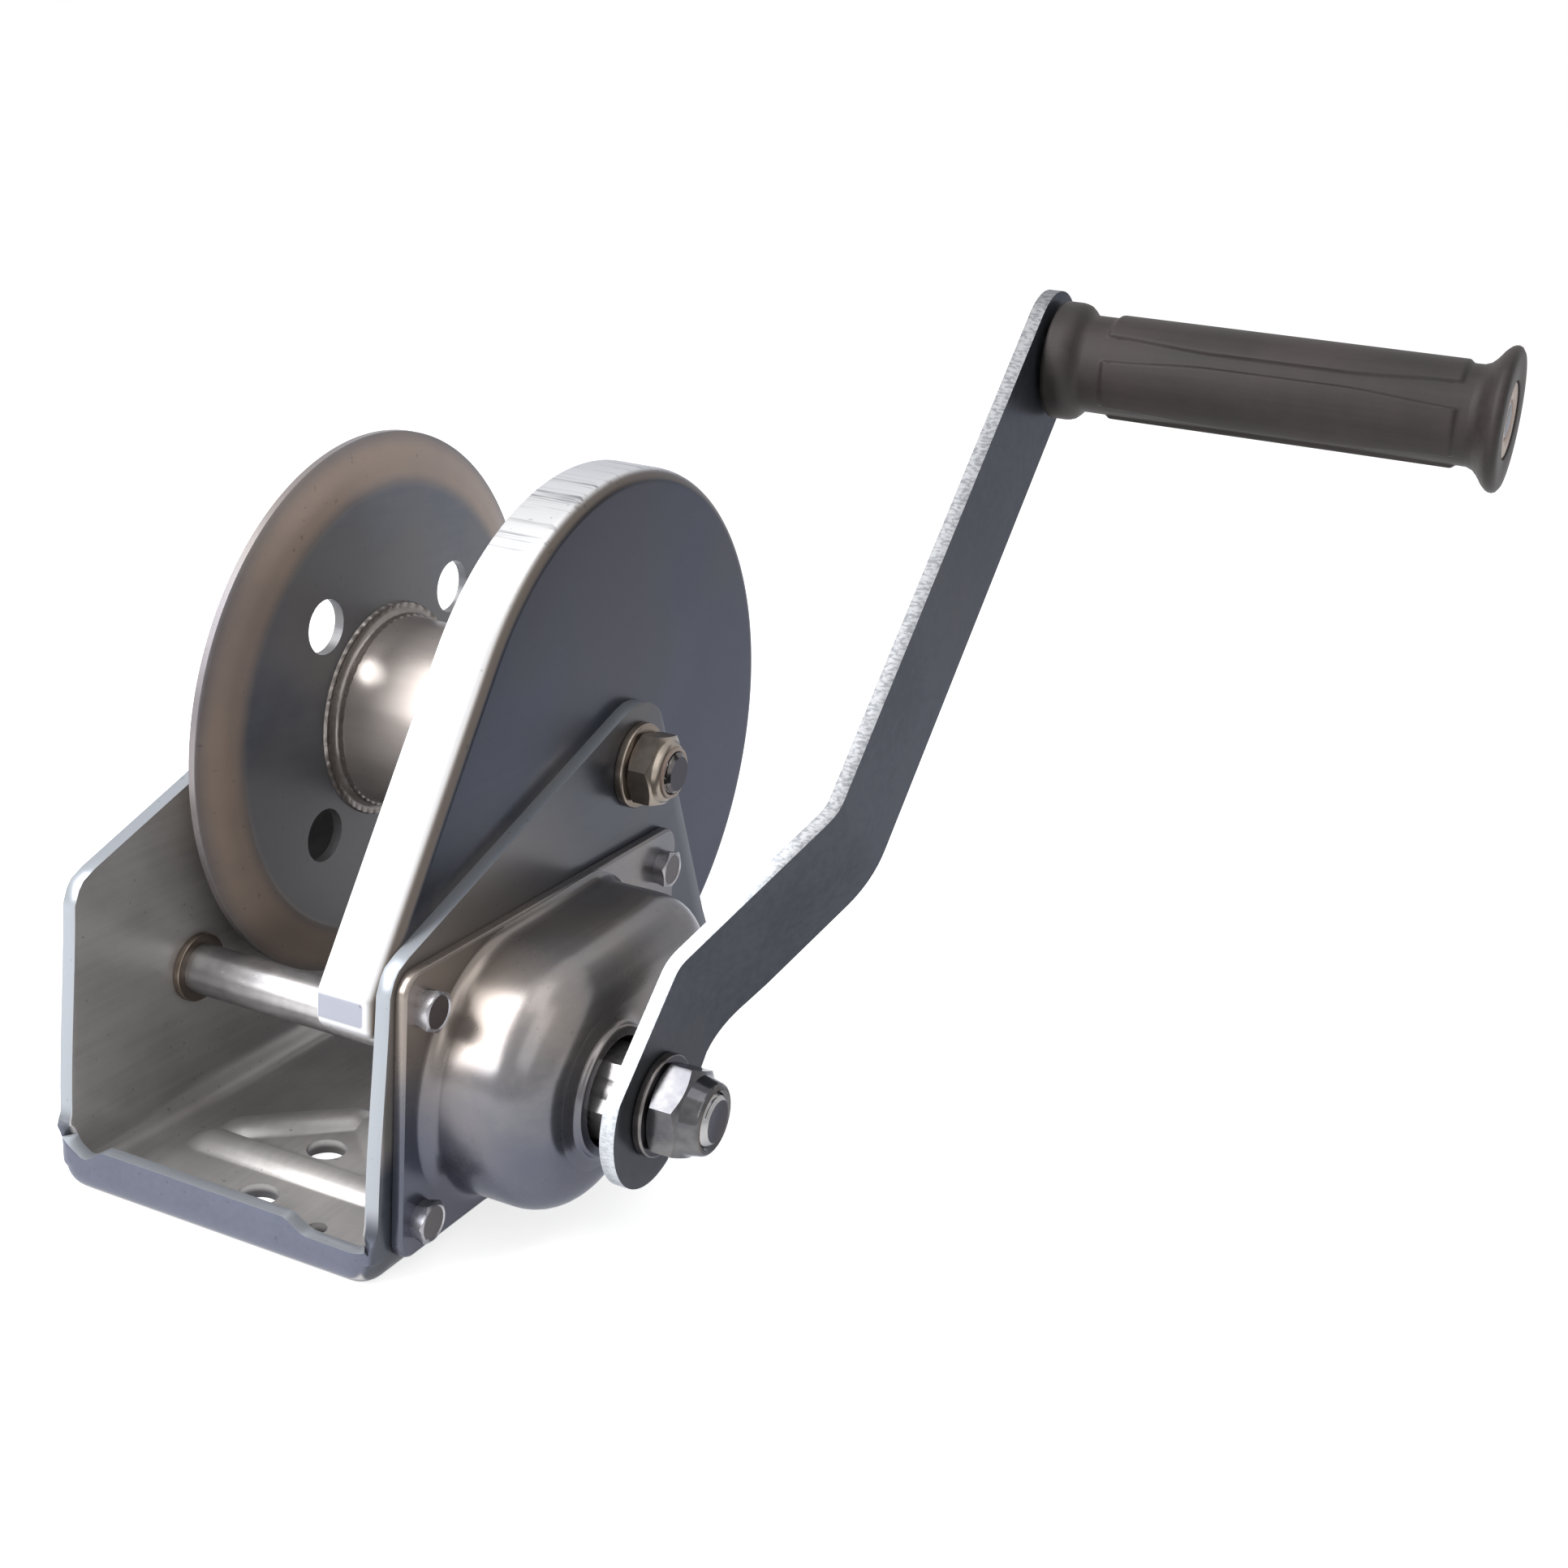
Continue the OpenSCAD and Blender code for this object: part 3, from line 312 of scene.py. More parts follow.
def settle(piece, sharp=35):
    """Applies a piece's modifiers to its mesh."""
    bpy.context.view_layer.update()
    done = bpy.data.meshes.new_from_object(piece.evaluated_get(bpy.context.evaluated_depsgraph_get()))
    piece.modifiers.clear()
    piece.data = done
    done.set_sharp_from_angle(angle=math.radians(sharp))


def break_edges(piece, width, angle, sharp=35):
    """Rounds off the edges of a piece that turn by more than an angle in degrees."""
    edge = piece.modifiers.new("edge", "BEVEL")
    edge.width = width * mm
    edge.segments = 2
    edge.limit_method = "ANGLE"
    edge.angle_limit = math.radians(angle)
    settle(piece, sharp)


def carve(piece, bm, sharp=35, operation="DIFFERENCE"):
    """Takes a closed mesh away from a piece, or joins it on."""
    tool = bpy.data.objects.new("tool", bpy.data.meshes.new("tool"))
    bpy.context.scene.collection.objects.link(tool)
    bmesh.ops.recalc_face_normals(bm, faces=bm.faces)
    bm.to_mesh(tool.data)
    bm.free()
    cut = piece.modifiers.new("cut", "BOOLEAN")
    cut.operation = operation
    cut.solver = "EXACT"
    cut.object = tool
    settle(piece, sharp)
    bpy.data.objects.remove(tool)


def drill(piece, holes, sharp=35):
    """Cuts round holes. Each is its axis, its ends and radius, and its middle on the two other axes."""
    bm = bmesh.new()
    for axis, low, high, radius, first, second in holes:
        turn = Matrix.Rotation(math.pi / 2, 4, "Y") if axis == "X" else Matrix.Identity(4)
        halfway = (low + high) / 2
        middle = (halfway, first, second) if axis == "X" else (first, second, halfway)
        bmesh.ops.create_cone(bm, cap_ends=True, segments=64, radius1=radius * mm, radius2=radius * mm,
                              depth=(high - low) * mm, matrix=Matrix.Translation(Vector(middle) * mm) @ turn)
    carve(piece, bm, sharp)


wall_out = 50.0
wall_in = 46.0
wall_rear = 51.0
wall_corner = 8.0
wall_apex = 17.5
rear_corner_z = 38.0
rear_slope_y, rear_slope_z = 48.7, 43.6
rear_slope = 0.4805
front_corner_y, front_corner_z = -105.4, 78.0
front_slope_y, front_slope_z = -108.1, 85.5
front_slope = 2.767
wall_foot_y = -117.3
wall_lean = 3.51
lip_face = -120.5
lip_end_left, lip_end_right = (14, 21), (11, 18.5)
right_drop = 3.6
bend = 8.0
drum_z = 106.0
crank_y = -68.644
crank_z = 45.5
lip_line = [(-50, 15.6), (-46, 14.8), (-40.2, 11.4), (-38.8, 11.5), (-33.6, 15),
            (24, 15), (30, 11.6), (44, 11.4), (50, 12)]
rib_lines = [((-28, -84), (26, -84)), ((26, -74), (4, -53)), ((-26, -74), (-4, -53))]
rib_height = 3.0
rib_reach = 6.4


def steps(points):
    """Places along an edge, from [place, spacing up to the next] pairs."""
    places = []
    for (a, gap), (b, _) in zip(points, points[1:]):
        count = max(1, round((b - a) / gap))
        places += [a + (b - a) * i / count for i in range(count)]
    return places + [points[-1][0]]


def wall_front(z):
    """Front edge of a wall: it leans back, and runs out to the lip at its foot."""
    lean = wall_foot_y + wall_lean * ease(z, 18, 86)
    return min(lean, lip_face + 3.2 * ease(z, 14.5, 21.5)) if z < 22 else lean


def wall_span(z):
    """Front and rear edge of a wall at one height: a corner and a slope on each side, and a round apex."""
    front, rear = wall_front(z), wall_rear
    if z > rear_corner_z:
        t = min(1.0, (z - rear_corner_z) / wall_corner)
        rear = wall_rear - wall_corner + wall_corner * math.sqrt(1 - t * t)
        if z >= rear_slope_z:
            rear = rear_slope_y - (z - rear_slope_z) * rear_slope
    if z > front_corner_z:
        t = min(1.0, (z - front_corner_z) / wall_corner)
        front = front_corner_y - wall_corner * math.sqrt(1 - t * t)
        if z >= front_slope_z:
            front = front_slope_y + (z - front_slope_z) * front_slope
    if z > drum_z - wall_apex:
        edge = math.sqrt(max(0.0, wall_apex ** 2 - (z - drum_z) ** 2))
        if z > 112.5:
            rear = min(rear, edge)
        if z > 122:
            front = max(front, -edge)
    return front, max(rear, front + 0.02)


def rounded_box(point, side):
    """Moves a point of the sharp box onto its rounded edges. The upright corners round only at the lip."""
    x, y, z = point
    r = bend + 4 * ease(y, -100, -60)
    if z > r:
        r = max(0.3, bend * 0.75 * (1 - ease(z, *(lip_end_right if side > 0 else lip_end_left))))
    inner = Vector((max(-wall_out + r, min(wall_out - r, x)), max(lip_face + r, y), max(r, z)))
    away = Vector(point) - inner
    return inner + away.normalized() * r if away.length > r else Vector(point)


def frame_shell():
    """The outer skin of the frame: floor, two walls and the lip on one grid that they share."""
    xs = steps([(-wall_out, 1.6), (-42, 1.4), (42, 1.6), (wall_out, 1)])
    ys = steps([(lip_face, 1.6), (-112.5, 1.4), (-44, 6), (wall_rear, 1)])
    zs = steps([(0, 1.6), (8, 1.6), (22.4, 5), (72, 2), (90, 4), (118, 1), (123.4, 1)])
    lip_rows = [z for z in zs if z < 15.3]
    bm = bmesh.new()
    placed = {}

    def vert(x, y, z):
        key = (round(x, 4), round(y, 4), round(z, 4))
        if key not in placed:
            side = 1 if x > 0 else -1
            px, py, pz = x, y, z
            if abs(x) == wall_out:
                front, rear = wall_span(z)
                py = front + (y - lip_face) / (wall_rear - lip_face) * (rear - front)
                if side > 0:
                    lowered = ease(z, 0, 15) * (1 - ease(z, 18, 34))
                    pz -= right_drop * lowered * (1 - ease(y, lip_face + 2, lip_face + 14))
            elif y == lip_face:
                pz = z / lip_rows[-1] * along_line(lip_line, x)
            done = rounded_box((px, py, pz), side)
            if z == 0:
                gap = min(segment_distance(Vector((x, y)), Vector(a), Vector(b)) for a, b in rib_lines)
                done.z += rib_height * math.cos(min(1, gap / rib_reach) * math.pi / 2) ** 2
            placed[key] = bm.verts.new(done * mm)
        return placed[key]

    def sheet(rows, columns, spot):
        for a, b in zip(rows, rows[1:]):
            for c, d in zip(columns, columns[1:]):
                corners = [vert(*spot(*pair)) for pair in ((a, c), (a, d), (b, d), (b, c))]
                bm.faces.new(corners)

    sheet(xs, ys, lambda x, y: (x, y, 0))
    sheet(ys, zs, lambda y, z: (-wall_out, y, z))
    sheet(ys, zs, lambda y, z: (wall_out, y, z))
    sheet(xs, lip_rows, lambda x, z: (x, lip_face, z))
    return bm


def frame_tones(base, place, cloud, tone):
    """The inside of the U painted lighter as light against its shade, the front lip painted bluish as a
    reflection, and the pale cut edges of the walls and the lip, partly bare sheared steel and partly a
    painted highlight.
    """
    across, along, up = (place.axis(k) * (1 / mm) for k in (0, 1, 2))
    normal = place.normal()
    inside = abs(across).between(wall_in + 0.8, wall_in - 0.2) * along.between(lip_face + 1, lip_face + 2.2)
    inside = inside * up.between(1.5, 3.5)
    upward = normal.axis(2).between(0.3, 0.7)
    front = along.between(lip_face + 2.7, lip_face + 1.5) * up.between(22, 15)
    # The cut edges and the top of the lip are paler: partly bare sheared steel, partly a painted highlight.
    cut = abs(normal.axis(0)).between(0.8, 0.4) * up.between(16, 24)
    cut = cut * abs(across).between(wall_in - 0.5, wall_in + 0.2)
    cut = cut + upward * along.between(lip_face + 4.7, lip_face + 3.7) * up.between(8.5, 9.5)
    painted_inside_light, lip = (0.37, 0.358, 0.35), (0.085, 0.092, 0.125)
    # Painted light: the inside of the U is lighter, against the shade that falls there.
    base = inside.blend(base, tone.blend(painted_inside_light, times(painted_inside_light, 1.3)))
    # Painted reflection: the lip's front faces, not those that face up, are bluish.
    base = (front * (1 - inside) * (1 - upward)).blend(base, tone.blend(lip, times(lip, 1.25)))
    return cut.blend(base, (0.3, 0.32, 0.35))


# Painted light: the outside of the right wall is lighter and warmer towards its front and foot.
painted_foot_light = painted_low_lighting((0.2, 0.18, 0.165), height=10, fade=80, slant=-1, start=30)
frame_zinc = zinc("frame_zinc", (0.032, 0.036, 0.048), (0.05, 0.055, 0.068), (0.068, 0.06, 0.054), 0.34,
                  metal=0.5, zones=(painted_foot_light, frame_tones))
frame_sheet = make_piece("frame_sheet", frame_shell(), "frame", frame_zinc)
thick = frame_sheet.modifiers.new("thick", "SOLIDIFY")
thick.thickness = (wall_out - wall_in) * mm
thick.offset = -1
thick.use_even_offset = True
thick.use_quality_normals = True
break_edges(frame_sheet, 0.5, 55)
bolt_hole = 5.5
drill(frame_sheet, [("Z", -3, 9, bolt_hole, 0, -71), ("Z", -3, 9, bolt_hole, 0, -100),
                    ("Z", -3, 9, bolt_hole, -25, 28), ("Z", -3, 9, bolt_hole, 25, 28),
                    ("Z", -3, 9, 2.75, 22.8, -105.4),
                    ("X", -54, -44, 8.9, crank_y, crank_z), ("X", 44, 54, 10.5, crank_y, crank_z)])
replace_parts(frame_sheet, "frame")


# Gear cover: a pan drawn from 2 mm bright zinc-plated sheet, held on the right wall by the brake cover
# screws. Its rim goes round the drum gear, and its foot is cut away round the pinion.
def belt_spots(circles, count):
    """Spots round the tight belt of circles (y, z, r), each with its circle's number and outward angle."""
    def outermost(angle):
        return max(range(len(circles)), key=lambda k: circles[k][0] * math.cos(angle)
                   + circles[k][1] * math.sin(angle) + circles[k][2])

    spots = [(outermost(0), 0.0)]
    for i in range(1, count + 1):
        angle = 2 * math.pi * i / count
        old, new = spots[-1][0], outermost(angle)
        if new != old:
            early, late = spots[-1][1], angle
            for _ in range(30):
                middle = (early + late) / 2
                early, late = (middle, late) if outermost(middle) == old else (early, middle)
            spots += [(old, early), (new, early)]
        if i < count:
            spots.append((new, angle))
    return spots


def belt_ring(circles, spots, x, inset):
    """The belt's outline at one place along X, moved inwards by a distance or by a rule of the angle."""
    ring = []
    for number, angle in spots:
        y, z, r = circles[number]
        r -= inset(angle) if callable(inset) else inset
        ring.append(Vector((x, y + r * math.cos(angle), z + r * math.sin(angle))))
    return ring


def loft(rings):
    """A closed skin through rings of equal length, in millimetres."""
    bm = bmesh.new()
    rows = [[bm.verts.new(spot * mm) for spot in ring] for ring in rings]
    for a, b in zip(rows, rows[1:]):
        for i in range(len(a)):
            j = (i + 1) % len(a)
            bm.faces.new((a[i], a[j], b[j], b[i]))
    bm.faces.new(rows[0])
    bm.faces.new(rows[-1])
    return bm


def quarter(count):
    """Sine and cosine pairs over a quarter turn."""
    turns = [math.pi / 2 * (i / count) for i in range(count + 1)]
    return [(math.sin(t), math.cos(t)) for t in turns]


gear_cover_dark = (0.025, 0.03, 0.044)


def rim_tones(base, place, cloud, tone):
    """The drawn rim, painted pale as a highlight except where it faces straight ahead, the shoulder it turns
    from, painted brown as a reflection, and scratches near its top.
    """
    normal = place.normal()
    flat = abs(normal.axis(0))
    # Painted reflection: the rounded shoulder between the face and the rim is brown.
    base = (flat.between(0.998, 0.92) * 0.8).blend(base, (0.14, 0.115, 0.095))
    scratch = place.stretched(0.03, 1, 1).noise(520, 3, 0.7).between(0.5, 0.72)
    worn = place.shifted(0.1, 0, 0).noise(30, 2, 0.5).between(0.45, 0.62) * place.axis(2).between(0.16, 0.172)
    # Painted highlight: the rim is pale, and darker only where it faces straight ahead.
    painted_rim_highlight = normal.axis(1).between(-0.97, -0.995).blend((0.62, 0.62, 0.63), (0.3, 0.31, 0.36))
    return flat.between(0.75, 0.3).blend(base, (scratch * worn * 0.8).blend(painted_rim_highlight, gear_cover_dark))


warm_reflection = painted_low_lighting((0.25, 0.215, 0.185), height=126, fade=16, slant=0.36, end=-40)
gear_cover_zinc = zinc("gear_cover_zinc", gear_cover_dark, (0.036, 0.041, 0.058), (0.042, 0.041, 0.048), 0.34,
                       zones=(warm_reflection, rim_tones))
gear_cover_belt = [(0, drum_z, 80.9), (-109.8, 74, 5), (-109.8, 69.5, 5)]
screw_spots = [(-103.5, 72.5), (-103.5, 15.5), (12.5, 72.5), (12.5, 15.5)]
screw_hole, drum_bolt_hole, bush_hole, pinion_opening = 3.3, 6.3, 10.8, 23.4
spots = belt_spots(gear_cover_belt, 220)
pan_r, pan_inner_r = 4.0, 2.0
pan_x = wall_in - pan_r
rings = [belt_ring(gear_cover_belt, spots, pan_x + pan_r * c, pan_r - pan_r * s) for s, c in quarter(7)]
rolled_edge = [(38, 0), (34, 0), (30, 0), (29.65, 0.15), (29.5, 0.5), (29.5, 1.5), (29.7, 1.9), (30, 2),
               (36, 2)]
rings += [belt_ring(gear_cover_belt, spots, x, inset) for x, inset in rolled_edge]
for s, c in quarter(4):
    rings.append(belt_ring(gear_cover_belt, spots, pan_x + pan_inner_r * s, pan_r - pan_inner_r * c))
gear_cover = make_piece("gear_cover_pan", loft(rings), "frame", gear_cover_zinc)
drill(gear_cover, [("X", 20, 43.9, pinion_opening, crank_y, crank_z)])
drill(gear_cover, [("X", 43, 47, bush_hole, crank_y, crank_z), ("X", 43, 47, drum_bolt_hole, 0, drum_z),
                   ("X", 43, 47, screw_hole, *screw_spots[0])])
keep_flats_flat(gear_cover)
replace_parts(gear_cover, "gear_cover")


# Brake cover: a deep pressing of 3 mm zinc-plated sheet: a flat flange, a domed bulge with a lobe over the
# pawl, and a collar drawn out round the crank hub. Four screws hold it and the gear cover on the wall.
def turned(points, y=0.0, z=0.0, sides=96, closed=False):
    """A skin turned round a line along X. A point is (x, r), or a rule of the angle that gives them."""
    bm = bmesh.new()
    rows = []
    for point in points:
        if not callable(point) and point[1] < 1e-6:
            rows.append([bm.verts.new(Vector((point[0], y, z)) * mm)])
            continue
        row = []
        for i in range(sides):
            angle = 2 * math.pi * i / sides
            x, r = point(angle) if callable(point) else point
            row.append(bm.verts.new(Vector((x, y + r * math.cos(angle), z + r * math.sin(angle))) * mm))
        rows.append(row)
    if closed:
        rows.append(rows[0])
    for a, b in zip(rows, rows[1:]):
        for i in range(sides):
            j = (i + 1) % sides
            corners = [a[0], b[j], b[i]] if len(a) == 1 else [a[i], a[j], b[0]]
            bm.faces.new(corners if 1 in (len(a), len(b)) else (a[i], a[j], b[j], b[i]))
    return bm


def softened(points, usual=0.25, count=4):
    """A profile with round corners. A point's third number is the radius of its corner."""
    done = []
    for number, point in enumerate(points):
        here = Vector(point[:2])
        radius = point[2] if len(point) > 2 else usual
        if number in (0, len(points) - 1) or radius == 0:
            done.append(here)
            continue
        before = Vector(points[number - 1][:2]) - here
        after = Vector(points[number + 1][:2]) - here
        half = before.angle(after) / 2
        reach = min(radius / math.tan(half), before.length * 0.49, after.length * 0.49)
        before.normalize()
        after.normalize()
        middle = here + (before + after).normalized() * (reach / math.cos(half))
        a, b = here + before * reach - middle, here + after * reach - middle
        sweep = a.angle(b)
        for i in range(count + 1):
            t = i / count
            arm = a * math.sin((1 - t) * sweep) + b * math.sin(t * sweep)
            done.append(middle + arm / math.sin(sweep))
    return [tuple(spot) for spot in done]


def foot(angle):
    """How far the fillet at the foot of the bulge spreads: least along the top."""
    return 4.4 - 2.1 * ease(math.sin(angle), 0.2, 0.9)


# Painted reflection: the lower part of the brake cover is darker and bluish.
painted_dark_foot_reflection = painted_low_lighting((0.062, 0.069, 0.1), height=40, fade=35)
brake_cover_zinc = zinc("brake_cover_zinc", (0.14, 0.14, 0.15), (0.2, 0.19, 0.19), (0.27, 0.225, 0.19), 0.26,
                        metal=0.6, zones=(painted_dark_foot_reflection,))
flange_belt = [(-106, 77.1, 6), (14.5, 76.6, 6.5), (14.5, 12.8, 6.5), (-106, 12.3, 6)]
flange_edge = [(50, 0.2), (50.3, 0), (52.2, 0), (52.6, 0.2), (53, 0.8)]
spots = belt_spots(flange_belt, 96)
rings = [belt_ring(flange_belt, spots, x, inset) for x, inset in flange_edge]
brake_cover = make_piece("brake_cover_pressing", loft(rings), "frame", brake_cover_zinc)

bulge_belt = [(crank_y, crank_z, 34.6), (crank_y + 41.6, crank_z + 15.7, 19.6)]
cover_sheet = 3.0
crown_x, crown_r = 70.0, 14.0
spots = belt_spots(bulge_belt, 240)
rings = [belt_ring(bulge_belt, spots, 51, lambda angle: -foot(angle))]
for s, c in quarter(6):
    x = 52.98 + 4.4 * (1 - c)
    rings.append(belt_ring(bulge_belt, spots, x, lambda angle, s=s: foot(angle) * (s - 1)))
rings += [belt_ring(bulge_belt, spots, x, 0) for x in (60, 63, 66, 69)]
rings += [belt_ring(bulge_belt, spots, crown_x + crown_r * s, crown_r * (1 - c)) for s, c in quarter(12)]
carve(brake_cover, loft(rings), operation="UNION")
collar = softened([(82, 13), (82, 21.4), (83.98, 21.4, 0), (84.6, 19.2, 2.2), (85.2, 17.5, 1.4),
                   (87, 17.2, 0.9), (87, 13, 0)], 0)
carve(brake_cover, turned(collar, crank_y, crank_z, 128, True), operation="UNION")
inner_r = crown_r - cover_sheet
rings = [belt_ring(bulge_belt, spots, x, cover_sheet) for x in (49, 60, 69)]
for s, c in quarter(6):
    rings.append(belt_ring(bulge_belt, spots, crown_x + inner_r * s, cover_sheet + inner_r * (1 - c)))
carve(brake_cover, loft(rings))
holes = [("X", 49, 54, screw_hole, y, z) for y, z in screw_spots]
hub_opening = 14.5
drill(brake_cover, [("X", 70, 90, hub_opening, crank_y, crank_z)] + holes, 30)
break_edges(brake_cover, 0.4, 60, 30)
keep_flats_flat(brake_cover)
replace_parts(brake_cover, "brake_cover")


# Cover screws: four bright zinc M6 machine screws with cold-formed hexagon heads, through both covers.
# Each one stopped at its own angle.
def hexagon(flats, face, height, up):
    """Rules for one end of a hexagon: its flat sides and the 30 degree chamfer that its corners get there."""
    def reach(angle):
        side = (angle + math.pi / 6) % (math.pi / 3) - math.pi / 6
        return min(flats / 2 / math.cos(side), flats / 2 / math.cos(math.pi / 6) * 0.995)

    def corner(angle):
        return height - up * max(0.0, reach(angle) - face) * math.tan(math.pi / 6), reach(angle)

    return [corner, (height, face)] if up > 0 else [(height, face), corner]


def bright(name, dark, light, rough, end=(0.05, 0.046, 0.05)):
    """Bright zinc on machined or cold-formed steel: clouded and scuffed by handling; the faces that look
    along the axis get less coat and are painted darker as shade.
    """
    made, place, put = new_material(name)
    cloud = place.noise(90, 3, 0.6)
    grain = place.noise(2600, 2, 0.6)
    scuff = place.stretched(0.25, 1, 1).noise(900, 2, 0.7).between(0.64, 0.8)
    # Painted shade: the faces that look along X take the darker end colour.
    ends = abs(place.normal().axis(0)).between(0.8, 0.97)
    base = (scuff * 0.4).blend(cloud.between(0.35, 0.65).blend(dark, light), times(light, 1.6))
    put(Base_Color=ends.blend(base, end), Metallic=0.8, Coat_Weight=0.3 - ends * 0.25, Coat_Roughness=0.12,
        Specular_Tint=(0.42, 0.44, 0.5), Roughness=cloud * 0.14 + scuff * 0.1 + (rough - 0.07),
        Normal=(grain * 0.3 + scuff * 0.05 + cloud * 0.8).bump(0.05, 0.0003))
    return made


def move_to(piece, y, z, degrees):
    """Turns a piece that was made on the X axis, and moves it to its own axis."""
    turn = Matrix.Rotation(math.radians(degrees), 4, "X")
    piece.data.transform(Matrix.Translation(Vector((0, y, z)) * mm) @ turn)


screw_zinc = bright("screw_zinc", (0.3, 0.3, 0.33), (0.44, 0.43, 0.45), 0.26, (0.11, 0.1, 0.1))
screw_line = [(44.3, 0), (44.3, 2.7), (44.6, 3), (53, 3), (53, 4.9)] + hexagon(10, 4.6, 57, 1)
screw_line += [(56.7, 4.2), (56.7, 0)]
for number, ((y, z), degrees) in enumerate(zip(screw_spots, (4, 24, 15, 40)), 1):
    bm = turned(screw_line, sides=72)
    screw = make_piece(f"cover_screw_{number}", bm, "frame", screw_zinc, 25)
    move_to(screw, y, z, degrees)
    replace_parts(screw, "cover_screws")


# Drum: a loose flange with a flared rim, pressed from 3 mm sheet, and a tube welded between it and the gear.
# Four holes in the flange take the end of the rope. The beads show the ripples of the welding.
def lap(points, count):
    """Points of a curve through a few [x, r] spots, evenly spread."""
    spots = []
    for i in range(count + 1):
        t = i / count * (len(points) - 1)
        k = min(int(t), len(points) - 2)
        u = t - k
        a, b = Vector(points[k]), Vector(points[k + 1])
        before = a - Vector(points[k - 1]) if k > 0 else b - a
        after = Vector(points[k + 2]) - b if k + 2 < len(points) else b - a
        go, come = (before + (b - a)) / 2, (after + (b - a)) / 2
        h = u * u * (3 - 2 * u)
        spots.append(tuple(a * (1 - h) + b * h + go * (u * (1 - u) ** 2) + come * (-u * u * (1 - u))))
    return spots


def flare_painted_reflection(base, place, cloud, tone):
    """A warmer ring where the rim flares out from the flange: a painted reflection on its curve."""
    radius = place.shifted(0, 0, -drum_z * mm).stretched(0, 1, 1).length()
    ring = radius.between(0.0635, 0.069) * radius.between(0.082, 0.0745)
    return (ring * (cloud * 0.8 + 0.4)).blend(base, (0.38, 0.29, 0.235))


flange_zinc = zinc("flange_zinc", (0.1, 0.108, 0.132), (0.14, 0.146, 0.168), (0.15, 0.145, 0.142), 0.38,
                   (1, 0.08, 0.6), 0.35, (flare_painted_reflection,))
flange_x, flange_sheet = -31.8, 3.0
flare = [(flange_x, 64), (-31.9, 66.3), (-33, 70.8), (-34.7, 75), (-36.5, 79.1)]
front_face = lap(flare, 20)
back_face = [(x - flange_sheet, r + 0.25) for x, r in reversed(front_face)]
flange_line = [(flange_x - flange_sheet, 12)] + [(flange_x, r) for r in (12, 27, 40, 52)] + front_face
flange_line += [(-36.75, 79.38), (-38.6, 79.4)] + back_face[1:]
flange_line += [(flange_x - flange_sheet, r) for r in (52, 40, 27)]
bm = turned(flange_line, 0, drum_z, 192, True)
drum_flange = make_piece("drum_flange_sheet", bm, "drum", flange_zinc)
rope_hole, rope_hole_at = 7.75, 43.0
holes = []
for degrees in (45, 135, 225, 315):
    y, z = rope_hole_at * math.cos(math.radians(degrees)), rope_hole_at * math.sin(math.radians(degrees))
    holes.append(("X", -40, -25, rope_hole, y, drum_z + z))
drill(drum_flange, holes)
break_edges(drum_flange, 0.35, 60)
keep_flats_flat(drum_flange)
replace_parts(drum_flange, "drum_flange")

# Painted highlight: the tube's zinc is much lighter than the flange's, standing in for the white band along
# it.
barrel_zinc_painted_light = zinc("barrel_zinc_painted_light", (0.36, 0.34, 0.335), (0.5, 0.475, 0.465), (0.4, 0.35, 0.32), 0.32,
                   (0.04, 1, 1), 0.6)
barrel_x, barrel_r, barrel_bore = 31, 27.5, 24
barrel_line = [(flange_x, barrel_bore), (flange_x, barrel_r)] + [(x, barrel_r) for x in range(-25, 30, 6)]
barrel_line += [(barrel_x, barrel_r), (barrel_x, barrel_bore)]
bm = turned(barrel_line, 0, drum_z, 128, True)
barrel = make_piece("barrel_tube", bm, "drum", barrel_zinc_painted_light)
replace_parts(barrel, "drum_barrel")
weld_zinc = zinc("weld_zinc", (0.13, 0.115, 0.105), (0.42, 0.4, 0.39), (0.2, 0.17, 0.15), 0.24,
                 (1, 1, 1), 0.6)


def weld_bead(name, x, side):
    """A hollow fillet weld: a low toe on the flange, a low toe on the tube, and ripples between them."""
    rows = []
    for k in range(13):
        t = k / 12

        def spot(angle, t=t):
            ripple = 0.4 * abs(math.sin(angle * 26 + 2 * t + 1.5 * math.sin(angle * 3)))
            uneven = 0.25 * noise.noise(Vector((math.cos(angle) * 4, math.sin(angle) * 4, x)))
            toes = 0.9 * math.exp(-((t - 0.16) / 0.09) ** 2) + 0.9 * math.exp(-((t - 0.84) / 0.09) ** 2)
            rise = toes * (0.8 + ripple + uneven) - 0.6 * math.sin(math.pi * t)
            return x + side * (3.9 * t ** 1.15 + rise * 0.7), 27.1 + 4.3 * (1 - t) ** 1.15 + rise * 0.7

        rows.append(spot)
    bm = turned([(x - side * 0.05, 26.9)] + rows, 0, drum_z, 420)
    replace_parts(make_piece(name, bm, "drum", weld_zinc, 60), "drum_barrel")


weld_bead("weld_bead_left", flange_x - 0.05, 1)
weld_bead("weld_bead_right", barrel_x + 0.05, -1)


# Drum bolt, its washers and its locking nut: M12, bright zinc-plated. The nut's collar grips a nylon ring.
# The bolt clamps the spacer sleeve between the walls, and the drum turns on that.
def thread(x0, x1, r, pitch, depth, chamfer):
    """Rules for a screw thread that turns away to a chamfered tip."""
    rows = []
    count = max(4, round((x1 - x0) / pitch * 8))
    for k in range(count + 1):
        x = x0 + (x1 - x0) * k / count

        def spot(angle, x=x):
            phase = (x / pitch - angle / (2 * math.pi)) % 1
            crest = r - depth * abs(2 * phase - 1) ** 1.2
            return x, min(crest, r - chamfer + (x1 - x))

        rows.append(spot)
    return rows


